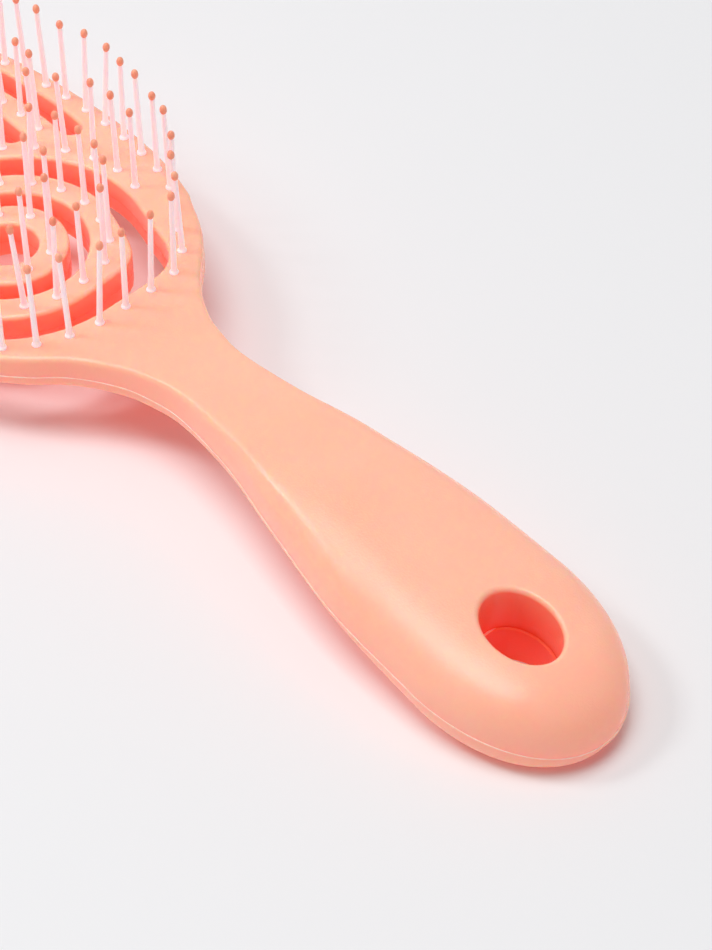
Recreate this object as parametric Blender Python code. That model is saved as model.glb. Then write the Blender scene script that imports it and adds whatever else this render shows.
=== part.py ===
"""Vented detangling brush with a spiral head, lying on its back with the pins up.

Two moulded shells meet at an arched seam: the front frame (top of the handle, the
oval rim and the coiled bands) and the thin back cover. Short nylon strips of pins
lie in grooves under the front frame and the back cover holds them there. Each pin
comes up through its own hole, with a small boss at its root and a ball at its tip.

Frame: +Y runs from the handle's butt to the tip of the head, +X is to the right,
+Z is up, and z = 0 is the surface that the brush lies on. Lengths are in metres.
"""
import bisect
import math
import random

import bpy
import bmesh
from mathutils import Vector
from mathutils.geometry import tessellate_polygon

# Whole brush
BRUSH_LENGTH = 0.225
HEAD_LENGTH = 0.1185
HEAD_WIDTH = 0.0666
HEAD_SQUARENESS_SHARE = 2.5
HANDLE_WIDTH = 0.0338
BUTT_SQUARENESS_SHARE = 2.05

# Arch of the seam between the two shells
SEAM_BUTT_HEIGHT = 0.0042
SEAM_CREST_HEIGHT = 0.0137
SEAM_TIP_HEIGHT = 0.0028
SEAM_CREST_FROM_TIP = 0.117
SEAM_CURVE_SHARE = 1.7
SEAM_GAP = 0.0003

# Depth of each shell, measured from the seam
HANDLE_FRONT_DEPTH = 0.0090
NECK_FRONT_DEPTH = 0.0062
HEAD_FRONT_DEPTH = 0.0043
HANDLE_BACK_DEPTH = 0.0074
NECK_BACK_DEPTH = 0.0037
HEAD_BACK_DEPTH = 0.0033
BUTT_ROUNDING = 0.013
TIP_ROUNDING = 0.0016
BUTT_ROUNDING_SHARE = 2.3
TIP_ROUNDING_SHARE = 2.0

# Walls of the hollow handle, and the pegs that line the two shells up
HANDLE_WALL = 0.0024
POCKET_START_Y = 0.031
POCKET_FROM_HEAD = 0.0085
PEG_DIAMETER = 0.0030
PEG_BOSS_DIAMETER = 0.0070
PEG_LENGTH = 0.0030
PEG_CLEARANCE = 0.0003
POST_SIDES = 12
POCKET_STEPS = 8
POCKET_COLUMNS = 8
FRONT_COLUMNS = 10
BACK_COLUMNS = 8

# Hanging hole
HOLE_Y = 0.0184
HOLE_WIDTH = 0.0118
HOLE_LENGTH = 0.0137
HOLE_EDGE_RADIUS = 0.0009
BACK_HOLE_STEP = 0.0004
HOLE_SIDES = 24
HOLE_EDGE_STEPS = 3

# Rim of the head, and the slots inside it
RIM_WIDTH = 0.00495
TIP_RIM_WIDTH = 0.00575
COIL_RIM_WIDTH = 0.0044
ARCH_SLOT_WIDTH = 0.0037
COIL_SLOT_LEAST_WIDTH = 0.0016
SLOT_EDGE_CHAMFER = 0.0005
COIL_START_DEGREES = 66.0
COIL_SHIFT_START_DEGREES = 60.0
COIL_SHIFT_DEGREES = 130.0
COIL_END_DEGREES = 805.0
CRESCENT_DEGREES = 307.0
CRESCENT_SPREAD_DEGREES = 17.0
EYE_SWEEP_DEGREES = 352.0
ARCH_SLOT_DEGREES = ((-18.0, 186.0), (-25.0, 186.0), (-10.0, 190.0))

# Rows of pins, as angles round the head, the coil and the arches
RIM_ROW_DEGREES = (-92.0, 268.0)
COIL_ROW_DEGREES = (-12.0, 793.0)
ARCH_ROW_DEGREES = ((-20.0, 187.0), (-9.0, 187.0))
HEEL_START_SHARE = 0.5

# Pins and the strips that carry them
PIN_PITCH = 0.0058
PIN_HEIGHT = 0.0181
PIN_ROOT_DIAMETER = 0.00108
PIN_NECK_DIAMETER = 0.00085
PIN_BALL_DIAMETER = 0.0015
PIN_BOSS_DIAMETER = 0.0017
PIN_BOSS_HEIGHT = 0.0005
PIN_LEAN = 0.0009
PIN_SIDES = 5
PIN_ROOT_SHARE = 0.33
PIN_TIP_SHARE = 0.35
PIN_SEED = 7
RIM_STRIPS = 9
COIL_STRIPS = 8
OUTER_ARCH_STRIPS = 5
INNER_ARCH_STRIPS = 3
HOLE_CLEARANCE = 0.0003
STRIP_WIDTH = 0.0023
STRIP_THICKNESS = 0.0022
STRIP_CLEARANCE = 0.0003
STRIP_END_MARGIN = 0.0016
GROOVE_ROOF = 0.0016
GROOVE_WALL = 0.0007

# How far every cutter runs past what it cuts, and how closely curves are followed
OVERRUN = 0.002
CURVE_TOLERANCE = 0.0002
PATH_STEPS_PER_DEGREE = 2.0
CURVE_STEPS = 160
CLAMP_STEPS = 12
WELD_DISTANCE = 0.0000001

# The handle: (share of its length, share of its half width), from butt to head
HANDLE_WIDTH_SHARES = (
    (0.229, 1.0), (0.382, 0.953), (0.575, 0.72), (0.736, 0.487), (0.845, 0.427), (0.923, 0.515),
    (0.974, 0.658),
)
FLARE_WIDTH_SHARES = ((0.026, 0.458), (0.0574, 0.576), (0.100, 0.700), (0.1646, 0.825))
# Depths and squareness of the sections, placed by shares of the handle's length
FRONT_DEPTH_SHARES = ((0.0, 0.89), (0.197, 1.0), (0.499, 1.0))
BACK_DEPTH_SHARES = ((0.0, 0.72), (0.178, 1.0))
NECK_BACK_START_SHARE = 0.499
NECK_SHARE = 0.798
HEAD_FRONT_SHARE = 0.987
HEAD_BACK_SHARE = 1.033
FRONT_EXPONENT_SHARES = (
    (0.0, 2.9), (0.38, 3.0), (0.55, 3.5), (0.68, 5.0), (0.8, 7.0), (0.95, 9.0), (3.0, 9.0),
)
BACK_EXPONENT_SHARES = ((0.0, 2.9), (0.798, 3.0), (1.108, 4.5), (3.0, 4.5))
# Stations of the lofts, as shares of the handle's length and of the head's
HANDLE_STATION_SHARES = (
    0.0, 0.0023, 0.0095, 0.023, 0.042, 0.066, 0.095, 0.131, 0.177, 0.229, 0.29, 0.357,
    0.431, 0.507, 0.583, 0.657, 0.733, 0.798, 0.854, 0.902, 0.938, 0.972,
)
HEAD_STATION_SHARES = (
    0.005, 0.034, 0.064, 0.100, 0.138, 0.180, 0.229, 0.290, 0.370, 0.449, 0.535, 0.620,
    0.704, 0.772, 0.831, 0.882, 0.924, 0.9535, 0.9747, 0.9882, 0.9958, 0.9990, 1.0,
)
# Pegs, as shares of the length of the pocket
PEG_SHARES = (0.075, 0.358, 0.695)
# Coil and arches: shares of half the width and half the length inside the rim
COIL_X_SHARE = -0.1129
COIL_Y_SHARE = -0.5019
COIL_HEIGHT_SHARE = 0.5511
COIL_OUTER_EDGE_SHARES = (1.1817, 0.8395, 0.4903, 0.187)
COIL_INNER_EDGE_SHARES = (1.0406, 0.6737, 0.3704)
CRESCENT_OUTER_BULGE_SHARE = 0.134
CRESCENT_INNER_BULGE_SHARE = 0.081
ARCH_WIDTH_SHARES = (1.0, 0.6896, 0.379)
ARCH_TOP_SHARES = (1.0, 0.8355, 0.671)
ARCH_SHOULDER_SHARES = (0.117, 0.266, 0.414)
ARCH_LOWER_REACH_SHARE = 0.748
TONGUE_SHARES = (0.32, 0.53)


def smooth(t):
    """Ease from 0 to 1 with level ends."""
    t = min(max(t, 0.0), 1.0)
    return t * t * (3.0 - 2.0 * t)


def table_value(table, x):
    """Monotone cubic through the points of a small table."""
    if x <= table[0][0]:
        return table[0][1]
    if x >= table[-1][0]:
        return table[-1][1]
    slopes = [(b[1] - a[1]) / (b[0] - a[0]) for a, b in zip(table, table[1:])]
    tangents = [slopes[0]]
    for before, after in zip(slopes, slopes[1:]):
        tangents.append(0.0 if before * after <= 0.0 else 2.0 * before * after / (before + after))
    tangents.append(slopes[-1])
    for i, (a, b) in enumerate(zip(table, table[1:])):
        if x <= b[0]:
            span = b[0] - a[0]
            t = (x - a[0]) / span
            keep = (1.0 + 2.0 * t) * (1.0 - t) ** 2 * a[1] + t * t * (3.0 - 2.0 * t) * b[1]
            turn = t * (1.0 - t) ** 2 * tangents[i] - t * t * (1.0 - t) * tangents[i + 1]
            return keep + span * turn
    return table[-1][1]


def seam_height(y):
    """Height of the seam over the table: one long arch from butt to tip."""
    crest_y = BRUSH_LENGTH - SEAM_CREST_FROM_TIP
    if y < crest_y:
        end, reach = SEAM_BUTT_HEIGHT, (crest_y - y) / crest_y
    else:
        end, reach = SEAM_TIP_HEIGHT, (y - crest_y) / SEAM_CREST_FROM_TIP
    return end + (SEAM_CREST_HEIGHT - end) * (1.0 - min(reach, 1.0) ** SEAM_CURVE_SHARE)


def handle_length():
    return BRUSH_LENGTH - HEAD_LENGTH


def head_centre_y():
    return BRUSH_LENGTH - HEAD_LENGTH / 2.0


def window_half_width():
    """Half the width of the space inside the rim."""
    return HEAD_WIDTH / 2.0 - RIM_WIDTH


def window_half_length():
    """Distance from the middle of the head to the rim's inner edge at the tip."""
    return HEAD_LENGTH / 2.0 - TIP_RIM_WIDTH


def superellipse_half(reach, exponent):
    """Half width, as a share, at a distance from the middle given as a share."""
    return max(0.0, 1.0 - min(abs(reach), 1.0) ** exponent) ** (1.0 / exponent)


def width_points():
    """Half widths along the handle and the flare, as real lengths."""
    handle = [(handle_length() * y, HANDLE_WIDTH / 2.0 * width)
              for y, width in HANDLE_WIDTH_SHARES]
    flare = [(handle_length() + HEAD_LENGTH * y, HEAD_WIDTH / 2.0 * width)
             for y, width in FLARE_WIDTH_SHARES]
    return handle + flare


def half_width(y):
    """Half the width of the brush seen from above."""
    points = width_points()
    if y < points[0][0]:
        reach = 1.0 - max(y, 0.0) / points[0][0]
        return HANDLE_WIDTH / 2.0 * superellipse_half(reach, BUTT_SQUARENESS_SHARE)
    if y < points[-1][0]:
        return table_value(points, y)
    reach = (y - head_centre_y()) / (HEAD_LENGTH / 2.0)
    return HEAD_WIDTH / 2.0 * superellipse_half(reach, HEAD_SQUARENESS_SHARE)


def end_rounding(y):
    """Share of the full depth that is left near the butt and near the tip."""
    share = 1.0
    if y < BUTT_ROUNDING:
        share = superellipse_half(1.0 - y / BUTT_ROUNDING, BUTT_ROUNDING_SHARE)
    elif y > BRUSH_LENGTH - TIP_ROUNDING:
        reach = 1.0 - (BRUSH_LENGTH - y) / TIP_ROUNDING
        share = superellipse_half(reach, TIP_ROUNDING_SHARE)
    return share


def front_depth(y):
    neck, head = NECK_FRONT_DEPTH / HANDLE_FRONT_DEPTH, HEAD_FRONT_DEPTH / HANDLE_FRONT_DEPTH
    table = FRONT_DEPTH_SHARES + ((NECK_SHARE, neck), (HEAD_FRONT_SHARE, head))
    return HANDLE_FRONT_DEPTH * table_value(table, y / handle_length()) * end_rounding(y)


def back_depth(y):
    neck, head = NECK_BACK_DEPTH / HANDLE_BACK_DEPTH, HEAD_BACK_DEPTH / HANDLE_BACK_DEPTH
    table = BACK_DEPTH_SHARES + (
        (NECK_BACK_START_SHARE, neck), (NECK_SHARE, neck), (HEAD_BACK_SHARE, head))
    return HANDLE_BACK_DEPTH * table_value(table, y / handle_length()) * end_rounding(y)


def section_exponent(y, side):
    """Squareness of a section: high where the face is flat with a tight edge."""
    table = FRONT_EXPONENT_SHARES if side > 0 else BACK_EXPONENT_SHARES
    return table_value(table, y / handle_length())


def stations():
    """Places along the brush of the sections that the shells are lofted through."""
    return ([handle_length() * share for share in HANDLE_STATION_SHARES]
            + [handle_length() + HEAD_LENGTH * share for share in HEAD_STATION_SHARES])


def new_object(name, mesh):
    """Object whose origin is the middle of the brush's footprint."""
    obj = bpy.data.objects.new(name, mesh)
    obj.location.y = -BRUSH_LENGTH / 2.0
    bpy.context.scene.collection.objects.link(obj)
    return obj


def mesh_object(name, vertices, faces):
    """Closed mesh object with its faces pointing out."""
    mesh = bpy.data.meshes.new(name)
    mesh.from_pydata(vertices, [], faces)
    bm = bmesh.new()
    bm.from_mesh(mesh)
    bmesh.ops.remove_doubles(bm, verts=bm.verts, dist=WELD_DISTANCE)
    bmesh.ops.recalc_face_normals(bm, faces=bm.faces)
    bm.to_mesh(mesh)
    bm.free()
    return new_object(name, mesh)


def make_cutter(obj):
    obj.hide_render = True
    obj.display_type = "WIRE"
    return obj


def boolean(target, tool, operation):
    modifier = target.modifiers.new(f"{operation.lower()}_{tool.name}", "BOOLEAN")
    modifier.operation = operation
    modifier.solver = "EXACT"
    modifier.object = tool
    return modifier


def material(name, colour, roughness):
    mat = bpy.data.materials.new(name)
    mat.use_nodes = True
    shader = mat.node_tree.nodes["Principled BSDF"]
    shader.inputs["Base Color"].default_value = (*colour, 1.0)
    shader.inputs["Roughness"].default_value = roughness
    shader.inputs["Metallic"].default_value = 0.0
    return mat


def half_shell(name, places, width_at, depth_at, side, base_shift, columns):
    """Solid between the seam and a rounded section, lofted from station to station.

    side is +1 for the part above the seam and -1 for the part below it, and
    base_shift moves the flat side of the solid away from the seam.
    """
    vertices = []
    rows = []
    for y in places:
        width, depth, exponent = width_at(y), depth_at(y), section_exponent(y, side)
        base = seam_height(y) + base_shift
        row = []
        for k in range(columns + 1):
            angle = math.pi * (k / columns - 0.5)
            across, rise = math.sin(angle), math.cos(angle)
            x = math.copysign(abs(across) ** (2.0 / exponent), across) * width
            z = seam_height(y) + side * depth * max(rise, 0.0) ** (2.0 / exponent)
            z = max(z, base) if side > 0 else min(z, base)
            row.append(len(vertices))
            vertices.append((x, y, z if 0 < k < columns else base))
        rows.append(row)
    faces = []
    for near, far in zip(rows, rows[1:]):
        for k in range(columns):
            faces.append((near[k], near[k + 1], far[k + 1], far[k]))
        faces.append((near[columns], near[0], far[0], far[columns]))
    faces.append(tuple(rows[0]))
    faces.append(tuple(reversed(rows[-1])))
    return mesh_object(name, vertices, faces)


def outline_offset(loop, distance):
    """Closed outline moved outwards along its own corners."""
    area = sum(a[0] * b[1] - b[0] * a[1] for a, b in zip(loop, loop[1:] + loop[:1]))
    turn = 1.0 if area > 0.0 else -1.0
    moved = []
    for before, here, after in zip(loop[-1:] + loop[:-1], loop, loop[1:] + loop[:1]):
        along = (Vector(after) - Vector(before)).normalized()
        moved.append((here[0] + turn * along.y * distance, here[1] - turn * along.x * distance))
    return moved


def arched_prism(name, loop, levels):
    """Prism with the outline loop, whose levels follow the arch of the seam.

    Each level is a pair: how far the outline is moved outwards, and its height
    over the seam.
    """
    vertices = []
    for distance, height in levels:
        outline = outline_offset(loop, distance) if distance else loop
        vertices += [(x, y, seam_height(y) + height) for x, y in outline]
    count = len(loop)
    faces = []
    for level in range(len(levels) - 1):
        low, high = level * count, (level + 1) * count
        for i in range(count):
            j = (i + 1) % count
            faces.append((low + i, low + j, high + j, high + i))
    top = (len(levels) - 1) * count
    for a, b, c in tessellate_polygon([[Vector((x, y, 0.0)) for x, y in loop]]):
        faces.append((a, b, c))
        faces.append((top + c, top + b, top + a))
    return mesh_object(name, vertices, faces)


def coil_point(degrees, share):
    """Point at an angle round the coil, at a share of the half width inside the rim."""
    angle = math.radians(degrees)
    return ((COIL_X_SHARE + share * math.cos(angle)) * window_half_width(),
            head_centre_y()
            + (COIL_Y_SHARE + share * COIL_HEIGHT_SHARE * math.sin(angle)) * window_half_length())


def room_inside_rim(x, y, rim_width):
    """How far a point lies inside the rim's inner edge, measured square to the outline."""
    slope = (half_width(y + OVERRUN) - half_width(y - OVERRUN)) / (2.0 * OVERRUN)
    return (half_width(y) - abs(x)) / math.hypot(1.0, slope) - rim_width


def coil_share(degrees, shares, bulge):
    """Edge of the coil's slot: it shifts inwards only on the upper left of each turn."""
    turned = degrees - COIL_SHIFT_START_DEGREES
    turn = max(min(int(turned // 360.0), len(shares) - 2), 0)
    blend = smooth((turned - 360.0 * turn) / COIL_SHIFT_DEGREES)
    away = (degrees - CRESCENT_DEGREES) / CRESCENT_SPREAD_DEGREES
    return shares[turn] + (shares[turn + 1] - shares[turn]) * blend + bulge * math.exp(-away * away)


def coil_outer(degrees):
    """Outer edge of the slot, which leaves the rim its full width."""
    share = coil_share(degrees, COIL_OUTER_EDGE_SHARES, CRESCENT_OUTER_BULGE_SHARE)
    for _ in range(CLAMP_STEPS):
        room = room_inside_rim(*coil_point(degrees, share), COIL_RIM_WIDTH)
        share += min(room, 0.0) / window_half_width()
    return share


def coil_inner(degrees):
    """Inner edge of the slot, which stays clear of the outer one."""
    share = coil_share(degrees, COIL_INNER_EDGE_SHARES, CRESCENT_INNER_BULGE_SHARE)
    return min(share, coil_outer(degrees) - COIL_SLOT_LEAST_WIDTH / window_half_width())


def coil_edge(share_at, start, end):
    """Points along one edge of the coil's slot, close enough for a smooth curve."""
    points = []
    degrees = start
    while degrees < end:
        share = share_at(degrees)
        step = math.degrees(math.sqrt(8.0 * CURVE_TOLERANCE / (share * window_half_width())))
        if end - degrees > step / 2.0:
            points.append(coil_point(degrees, share))
        degrees += step
    return points + [coil_point(end, share_at(end))]


def coil_slot_outline():
    """Outline of the slot, whose inner end opens into the eye of the coil."""
    last = COIL_END_DEGREES
    outer = coil_edge(coil_outer, COIL_START_DEGREES, last + EYE_SWEEP_DEGREES)
    inner = coil_edge(coil_inner, COIL_START_DEGREES, last)
    reach = (coil_outer(COIL_START_DEGREES) - coil_inner(COIL_START_DEGREES)) / 2.0
    middle = coil_inner(COIL_START_DEGREES) + reach
    nose = []
    for k in (1, 2, 3):
        swing = math.pi * k / 4.0
        back = math.degrees(reach * math.sin(swing) / middle)
        nose.append(coil_point(COIL_START_DEGREES - back, middle - reach * math.cos(swing)))
    tip = [coil_point(last + 360.0 - EYE_SWEEP_DEGREES,
                      (coil_inner(last) + COIL_OUTER_EDGE_SHARES[-1]) / 2.0)]
    return outer + tip + list(reversed(inner)) + nose


def arch_sizes(order):
    """Half width, shoulder height and top of one arched slot, along its middle."""
    half = window_half_width() * ARCH_WIDTH_SHARES[order] - ARCH_SLOT_WIDTH / 2.0
    shoulder = head_centre_y() + window_half_length() * ARCH_SHOULDER_SHARES[order]
    top = head_centre_y() + window_half_length() * ARCH_TOP_SHARES[order]
    return half, shoulder, top - ARCH_SLOT_WIDTH / 2.0


def arch_point(degrees, half, shoulder, top):
    """Point on an arch that is half an oval, with its lower legs drawn in a little."""
    angle = math.radians(degrees)
    power = 2.0 / HEAD_SQUARENESS_SHARE
    across, rise = math.cos(angle), math.sin(angle)
    reach = top - shoulder if rise > 0.0 else ARCH_LOWER_REACH_SHARE * window_half_length()
    return (math.copysign(abs(across) ** power, across) * half,
            shoulder + math.copysign(abs(rise) ** power, rise) * reach)


def dense_path(point_at, start, end):
    """Points at every half degree or so, for measuring lengths along a curve."""
    steps = round((end - start) * PATH_STEPS_PER_DEGREE)
    return [point_at(start + (end - start) * k / steps) for k in range(steps + 1)]


def path_lengths(path):
    lengths = [0.0]
    for a, b in zip(path, path[1:]):
        lengths.append(lengths[-1] + math.dist(a, b))
    return lengths


def point_along(path, lengths, distance):
    """Point and heading at a distance along a path."""
    distance = min(max(distance, 0.0), lengths[-1])
    i = min(max(bisect.bisect_left(lengths, distance), 1), len(path) - 1)
    t = (distance - lengths[i - 1]) / (lengths[i] - lengths[i - 1])
    (ax, ay), (bx, by) = path[i - 1], path[i]
    return (ax + (bx - ax) * t, ay + (by - ay) * t), math.atan2(by - ay, bx - ax)


def curve_stops(path, lengths, start, end):
    """Distances along a path that follow its curve within the tolerance."""
    stops = [start]
    for k in range(1, CURVE_STEPS):
        distance = start + (end - start) * k / CURVE_STEPS
        before = point_along(path, lengths, stops[-1])[1]
        here = point_along(path, lengths, distance)[1]
        turn = abs(math.remainder(here - before, 2.0 * math.pi))
        if (distance - stops[-1]) * turn / 8.0 > CURVE_TOLERANCE:
            stops.append(distance)
    return stops + [end]


def ribbon_outline(path, start, end, width, round_ends):
    """Outline of a ribbon of one width that follows part of a path."""
    lengths = path_lengths(path)

    def offset(distance, swing):
        (x, y), heading = point_along(path, lengths, distance)
        return (x + math.cos(heading + swing) * width / 2.0,
                y + math.sin(heading + swing) * width / 2.0)

    quarter = math.pi / 2.0
    stops = curve_stops(path, lengths, start, end)
    left = [offset(distance, quarter) for distance in stops]
    right = [offset(distance, -quarter) for distance in reversed(stops)]
    head, tail = [], []
    if round_ends:
        head = [offset(end, quarter * turn) for turn in (0.5, 0.0, -0.5)]
        tail = [offset(start, quarter * turn) for turn in (-1.5, -2.0, -2.5)]
    return left + head + right + tail


def arch_slot_outline(order):
    start, end = ARCH_SLOT_DEGREES[order]
    path = dense_path(lambda a: arch_point(a, *arch_sizes(order)), start, end)
    return ribbon_outline(path, 0.0, path_lengths(path)[-1], ARCH_SLOT_WIDTH, True)


def slot_outlines():
    return {
        "coil_slot": coil_slot_outline(),
        "outer_arch_slot": arch_slot_outline(0),
        "middle_arch_slot": arch_slot_outline(1),
        "inner_arch_slot": arch_slot_outline(2),
    }


def rim_row_point(degrees):
    """Row of pins along the middle of the rim, and round the outside of the coil."""
    angle = math.radians(degrees)
    power = 2.0 / HEAD_SQUARENESS_SHARE
    across, rise = math.cos(angle), math.sin(angle)
    inset = (RIM_WIDTH + (TIP_RIM_WIDTH - RIM_WIDTH) * max(rise, 0.0)) / 2.0
    x = math.copysign(abs(across) ** power, across) * (HEAD_WIDTH / 2.0 - inset)
    y = head_centre_y() + math.copysign(abs(rise) ** power, rise) * (HEAD_LENGTH / 2.0 - inset)
    coil_x = x / window_half_width() - COIL_X_SHARE
    coil_y = ((y - head_centre_y()) / window_half_length() - COIL_Y_SHARE) / COIL_HEIGHT_SHARE
    bearing = math.degrees(math.atan2(coil_y, coil_x)) % 360.0
    groove = (STRIP_WIDTH / 2.0 + STRIP_CLEARANCE + GROOVE_WALL) / window_half_width()
    share = math.hypot(coil_x, coil_y)
    share += (coil_outer(bearing) + groove - share) * smooth(-rise / HEEL_START_SHARE - 1.0)
    return coil_point(bearing, share)


def coil_row_point(degrees):
    """Middle of the coiled band: between one turn of the slot and the next."""
    return coil_point(degrees, (coil_inner(degrees) + coil_outer(degrees + 360.0)) / 2.0)


def arch_row(order):
    """Path along the middle of the band between one arched slot and the next."""
    sizes = [(a + b) / 2.0 for a, b in zip(arch_sizes(order), arch_sizes(order + 1))]
    return dense_path(lambda a: arch_point(a, *sizes), *ARCH_ROW_DEGREES[order])


def tongue_row(side):
    """Short straight row on the tongue inside the innermost arch."""
    half, _, _ = arch_sizes(2)
    x = side * (half - ARCH_SLOT_WIDTH / 2.0) / 2.0
    return [(x, head_centre_y() + window_half_length() * share) for share in TONGUE_SHARES]


def pin_rows():
    """Name, path and number of strips of each row of pins."""
    return (
        ("rim", dense_path(rim_row_point, *RIM_ROW_DEGREES), RIM_STRIPS),
        ("coil", dense_path(coil_row_point, *COIL_ROW_DEGREES), COIL_STRIPS),
        ("outer_arch", arch_row(0), OUTER_ARCH_STRIPS),
        ("inner_arch", arch_row(1), INNER_ARCH_STRIPS),
        ("tongue_right", tongue_row(1.0), 1),
        ("tongue_left", tongue_row(-1.0), 1),
    )


def strips():
    """Name, path and pin distances of every strip, with the pins at an even pitch."""
    result = []
    for name, path, groups in pin_rows():
        length = path_lengths(path)[-1]
        usable = length - 2.0 * STRIP_END_MARGIN
        closed = math.dist(path[0], path[-1]) < PIN_PITCH / 2.0
        pins = round((length if closed else usable + PIN_PITCH) / PIN_PITCH)
        pitch = length / pins if closed else usable / (pins - 1)
        first = pitch / 2.0 if closed else STRIP_END_MARGIN
        made = 0
        for group in range(groups):
            count = (pins - made) // (groups - group)
            places = [first + pitch * (made + k) for k in range(count)]
            label = f"pin_strip_{name}_{group + 1:02d}" if groups > 1 else f"pin_strip_{name}"
            result.append((label, path, places))
            made += count
    return result


def ring(centre, radius, sides, height):
    return [(centre[0] + radius * math.cos(2.0 * math.pi * k / sides),
             centre[1] + radius * math.sin(2.0 * math.pi * k / sides), height)
            for k in range(sides)]


def lathe_stack(rings):
    """Closed mesh data from a stack of rings with as many points each."""
    sides = len(rings[0])
    vertices = [point for one in rings for point in one]
    faces = [tuple(reversed(range(sides)))]
    for level in range(len(rings) - 1):
        low, high = level * sides, (level + 1) * sides
        for i in range(sides):
            j = (i + 1) % sides
            faces.append((low + i, low + j, high + j, high + i))
    top = (len(rings) - 1) * sides
    faces.append(tuple(range(top, top + sides)))
    return vertices, faces


def joined(name, pieces):
    vertices, faces = [], []
    for piece_vertices, piece_faces in pieces:
        base = len(vertices)
        vertices += piece_vertices
        faces += [tuple(base + i for i in face) for face in piece_faces]
    return mesh_object(name, vertices, faces)


def pin_stack(place, lean):
    """One pin: boss in its hole, tapered shaft, and ball tip."""
    x, y = place
    seam = seam_height(y)
    top = seam + HEAD_FRONT_DEPTH
    foot = top - GROOVE_ROOF - STRIP_CLEARANCE - STRIP_THICKNESS * PIN_ROOT_SHARE
    boss = top + PIN_BOSS_HEIGHT
    ball = PIN_BALL_DIAMETER / 2.0
    tip = top + PIN_HEIGHT

    def centre(height):
        share = max(0.0, (height - boss) / (tip - boss))
        return (x + lean[0] * share, y + lean[1] * share)

    heights = (
        (foot, PIN_BOSS_DIAMETER / 2.0),
        (top, PIN_BOSS_DIAMETER / 2.0),
        (boss, PIN_ROOT_DIAMETER / 2.0),
        (tip - 2.0 * ball, PIN_NECK_DIAMETER / 2.0),
        (tip - ball, ball),
        (tip, ball * PIN_TIP_SHARE),
    )
    return lathe_stack([ring(centre(z), radius, PIN_SIDES, z) for z, radius in heights])


def hole_stack(place):
    """Cutter for the hole of one pin."""
    x, y = place
    roof = seam_height(y) + HEAD_FRONT_DEPTH
    radius = PIN_BOSS_DIAMETER / 2.0 + HOLE_CLEARANCE
    return lathe_stack([ring((x, y), radius, PIN_SIDES, roof - GROOVE_ROOF - OVERRUN / 4.0),
                        ring((x, y), radius, PIN_SIDES, roof + OVERRUN)])


def strip_outline(path, places, grow):
    start = places[0] - STRIP_END_MARGIN - grow
    end = places[-1] + STRIP_END_MARGIN + grow
    return ribbon_outline(path, start, end, STRIP_WIDTH + 2.0 * grow, False)


def build_strip(label, path, places, nylon, rng):
    low = HEAD_FRONT_DEPTH - GROOVE_ROOF - STRIP_CLEARANCE - STRIP_THICKNESS
    high = HEAD_FRONT_DEPTH - GROOVE_ROOF - STRIP_CLEARANCE
    strip = arched_prism(label, strip_outline(path, places, 0.0), ((0.0, low), (0.0, high)))
    lengths = path_lengths(path)
    stacks = []
    centres = []
    for distance in places:
        place, _ = point_along(path, lengths, distance)
        lean = [rng.uniform(-PIN_LEAN, PIN_LEAN) for _ in range(2)]
        stacks.append(pin_stack(place, lean))
        centres.append(place)
    pins = make_cutter(joined(f"{label}_pins", stacks))
    boolean(strip, pins, "UNION")
    strip.data.materials.append(nylon)
    return centres


def hole_cutter(name, shrink, flare_up):
    """Cutter of the hanging hole, with a rounded edge where it meets the surface."""
    seam = seam_height(HOLE_Y)
    half_x, half_y = HOLE_WIDTH / 2.0 - shrink, HOLE_LENGTH / 2.0 - shrink
    if flare_up:
        surface, side = seam + front_depth(HOLE_Y), 1.0
    else:
        surface, side = 0.0, -1.0
    levels = [(seam - side * OVERRUN, 0.0)]
    for k in range(HOLE_EDGE_STEPS + 1):
        swing = math.pi / 2.0 * (1.0 - k / HOLE_EDGE_STEPS)
        levels.append((surface - side * HOLE_EDGE_RADIUS * (1.0 - math.cos(swing)),
                       HOLE_EDGE_RADIUS * (1.0 - math.sin(swing))))
    levels.append((surface + side * OVERRUN, HOLE_EDGE_RADIUS))
    rings = []
    for height, grow in levels:
        rings.append([((half_x + grow) * math.cos(2.0 * math.pi * k / HOLE_SIDES),
                       HOLE_Y + (half_y + grow) * math.sin(2.0 * math.pi * k / HOLE_SIDES), height)
                      for k in range(HOLE_SIDES)])
    return make_cutter(joined(name, [lathe_stack(rings)]))


def posts(name, places, diameter, low, high):
    """Cutter of round posts on the brush's axis, between two heights from the seam."""
    stacks = []
    for y in places:
        rings = [ring((0.0, y), diameter / 2.0, POST_SIDES, seam_height(y) + height)
                 for height in (low, high)]
        stacks.append(lathe_stack(rings))
    return make_cutter(joined(name, stacks))


def pocket_stations():
    end = handle_length() - POCKET_FROM_HEAD
    return [POCKET_START_Y + (end - POCKET_START_Y) * k / POCKET_STEPS
            for k in range(POCKET_STEPS + 1)]


def peg_places():
    first, last = pocket_stations()[0], pocket_stations()[-1]
    return [first + (last - first) * share for share in PEG_SHARES]


def pocket_cutter():
    """Cutter that hollows the handle, with the bosses of the pegs left standing."""
    cutter = half_shell("front_pocket", pocket_stations(),
                        lambda y: half_width(y) - HANDLE_WALL,
                        lambda y: front_depth(y) - HANDLE_WALL, 1.0, -OVERRUN, POCKET_COLUMNS)
    make_cutter(cutter)
    columns = posts("peg_columns", peg_places(), PEG_BOSS_DIAMETER,
                    -2.0 * OVERRUN, HANDLE_FRONT_DEPTH)
    boolean(cutter, columns, "DIFFERENCE")
    return cutter


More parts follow.
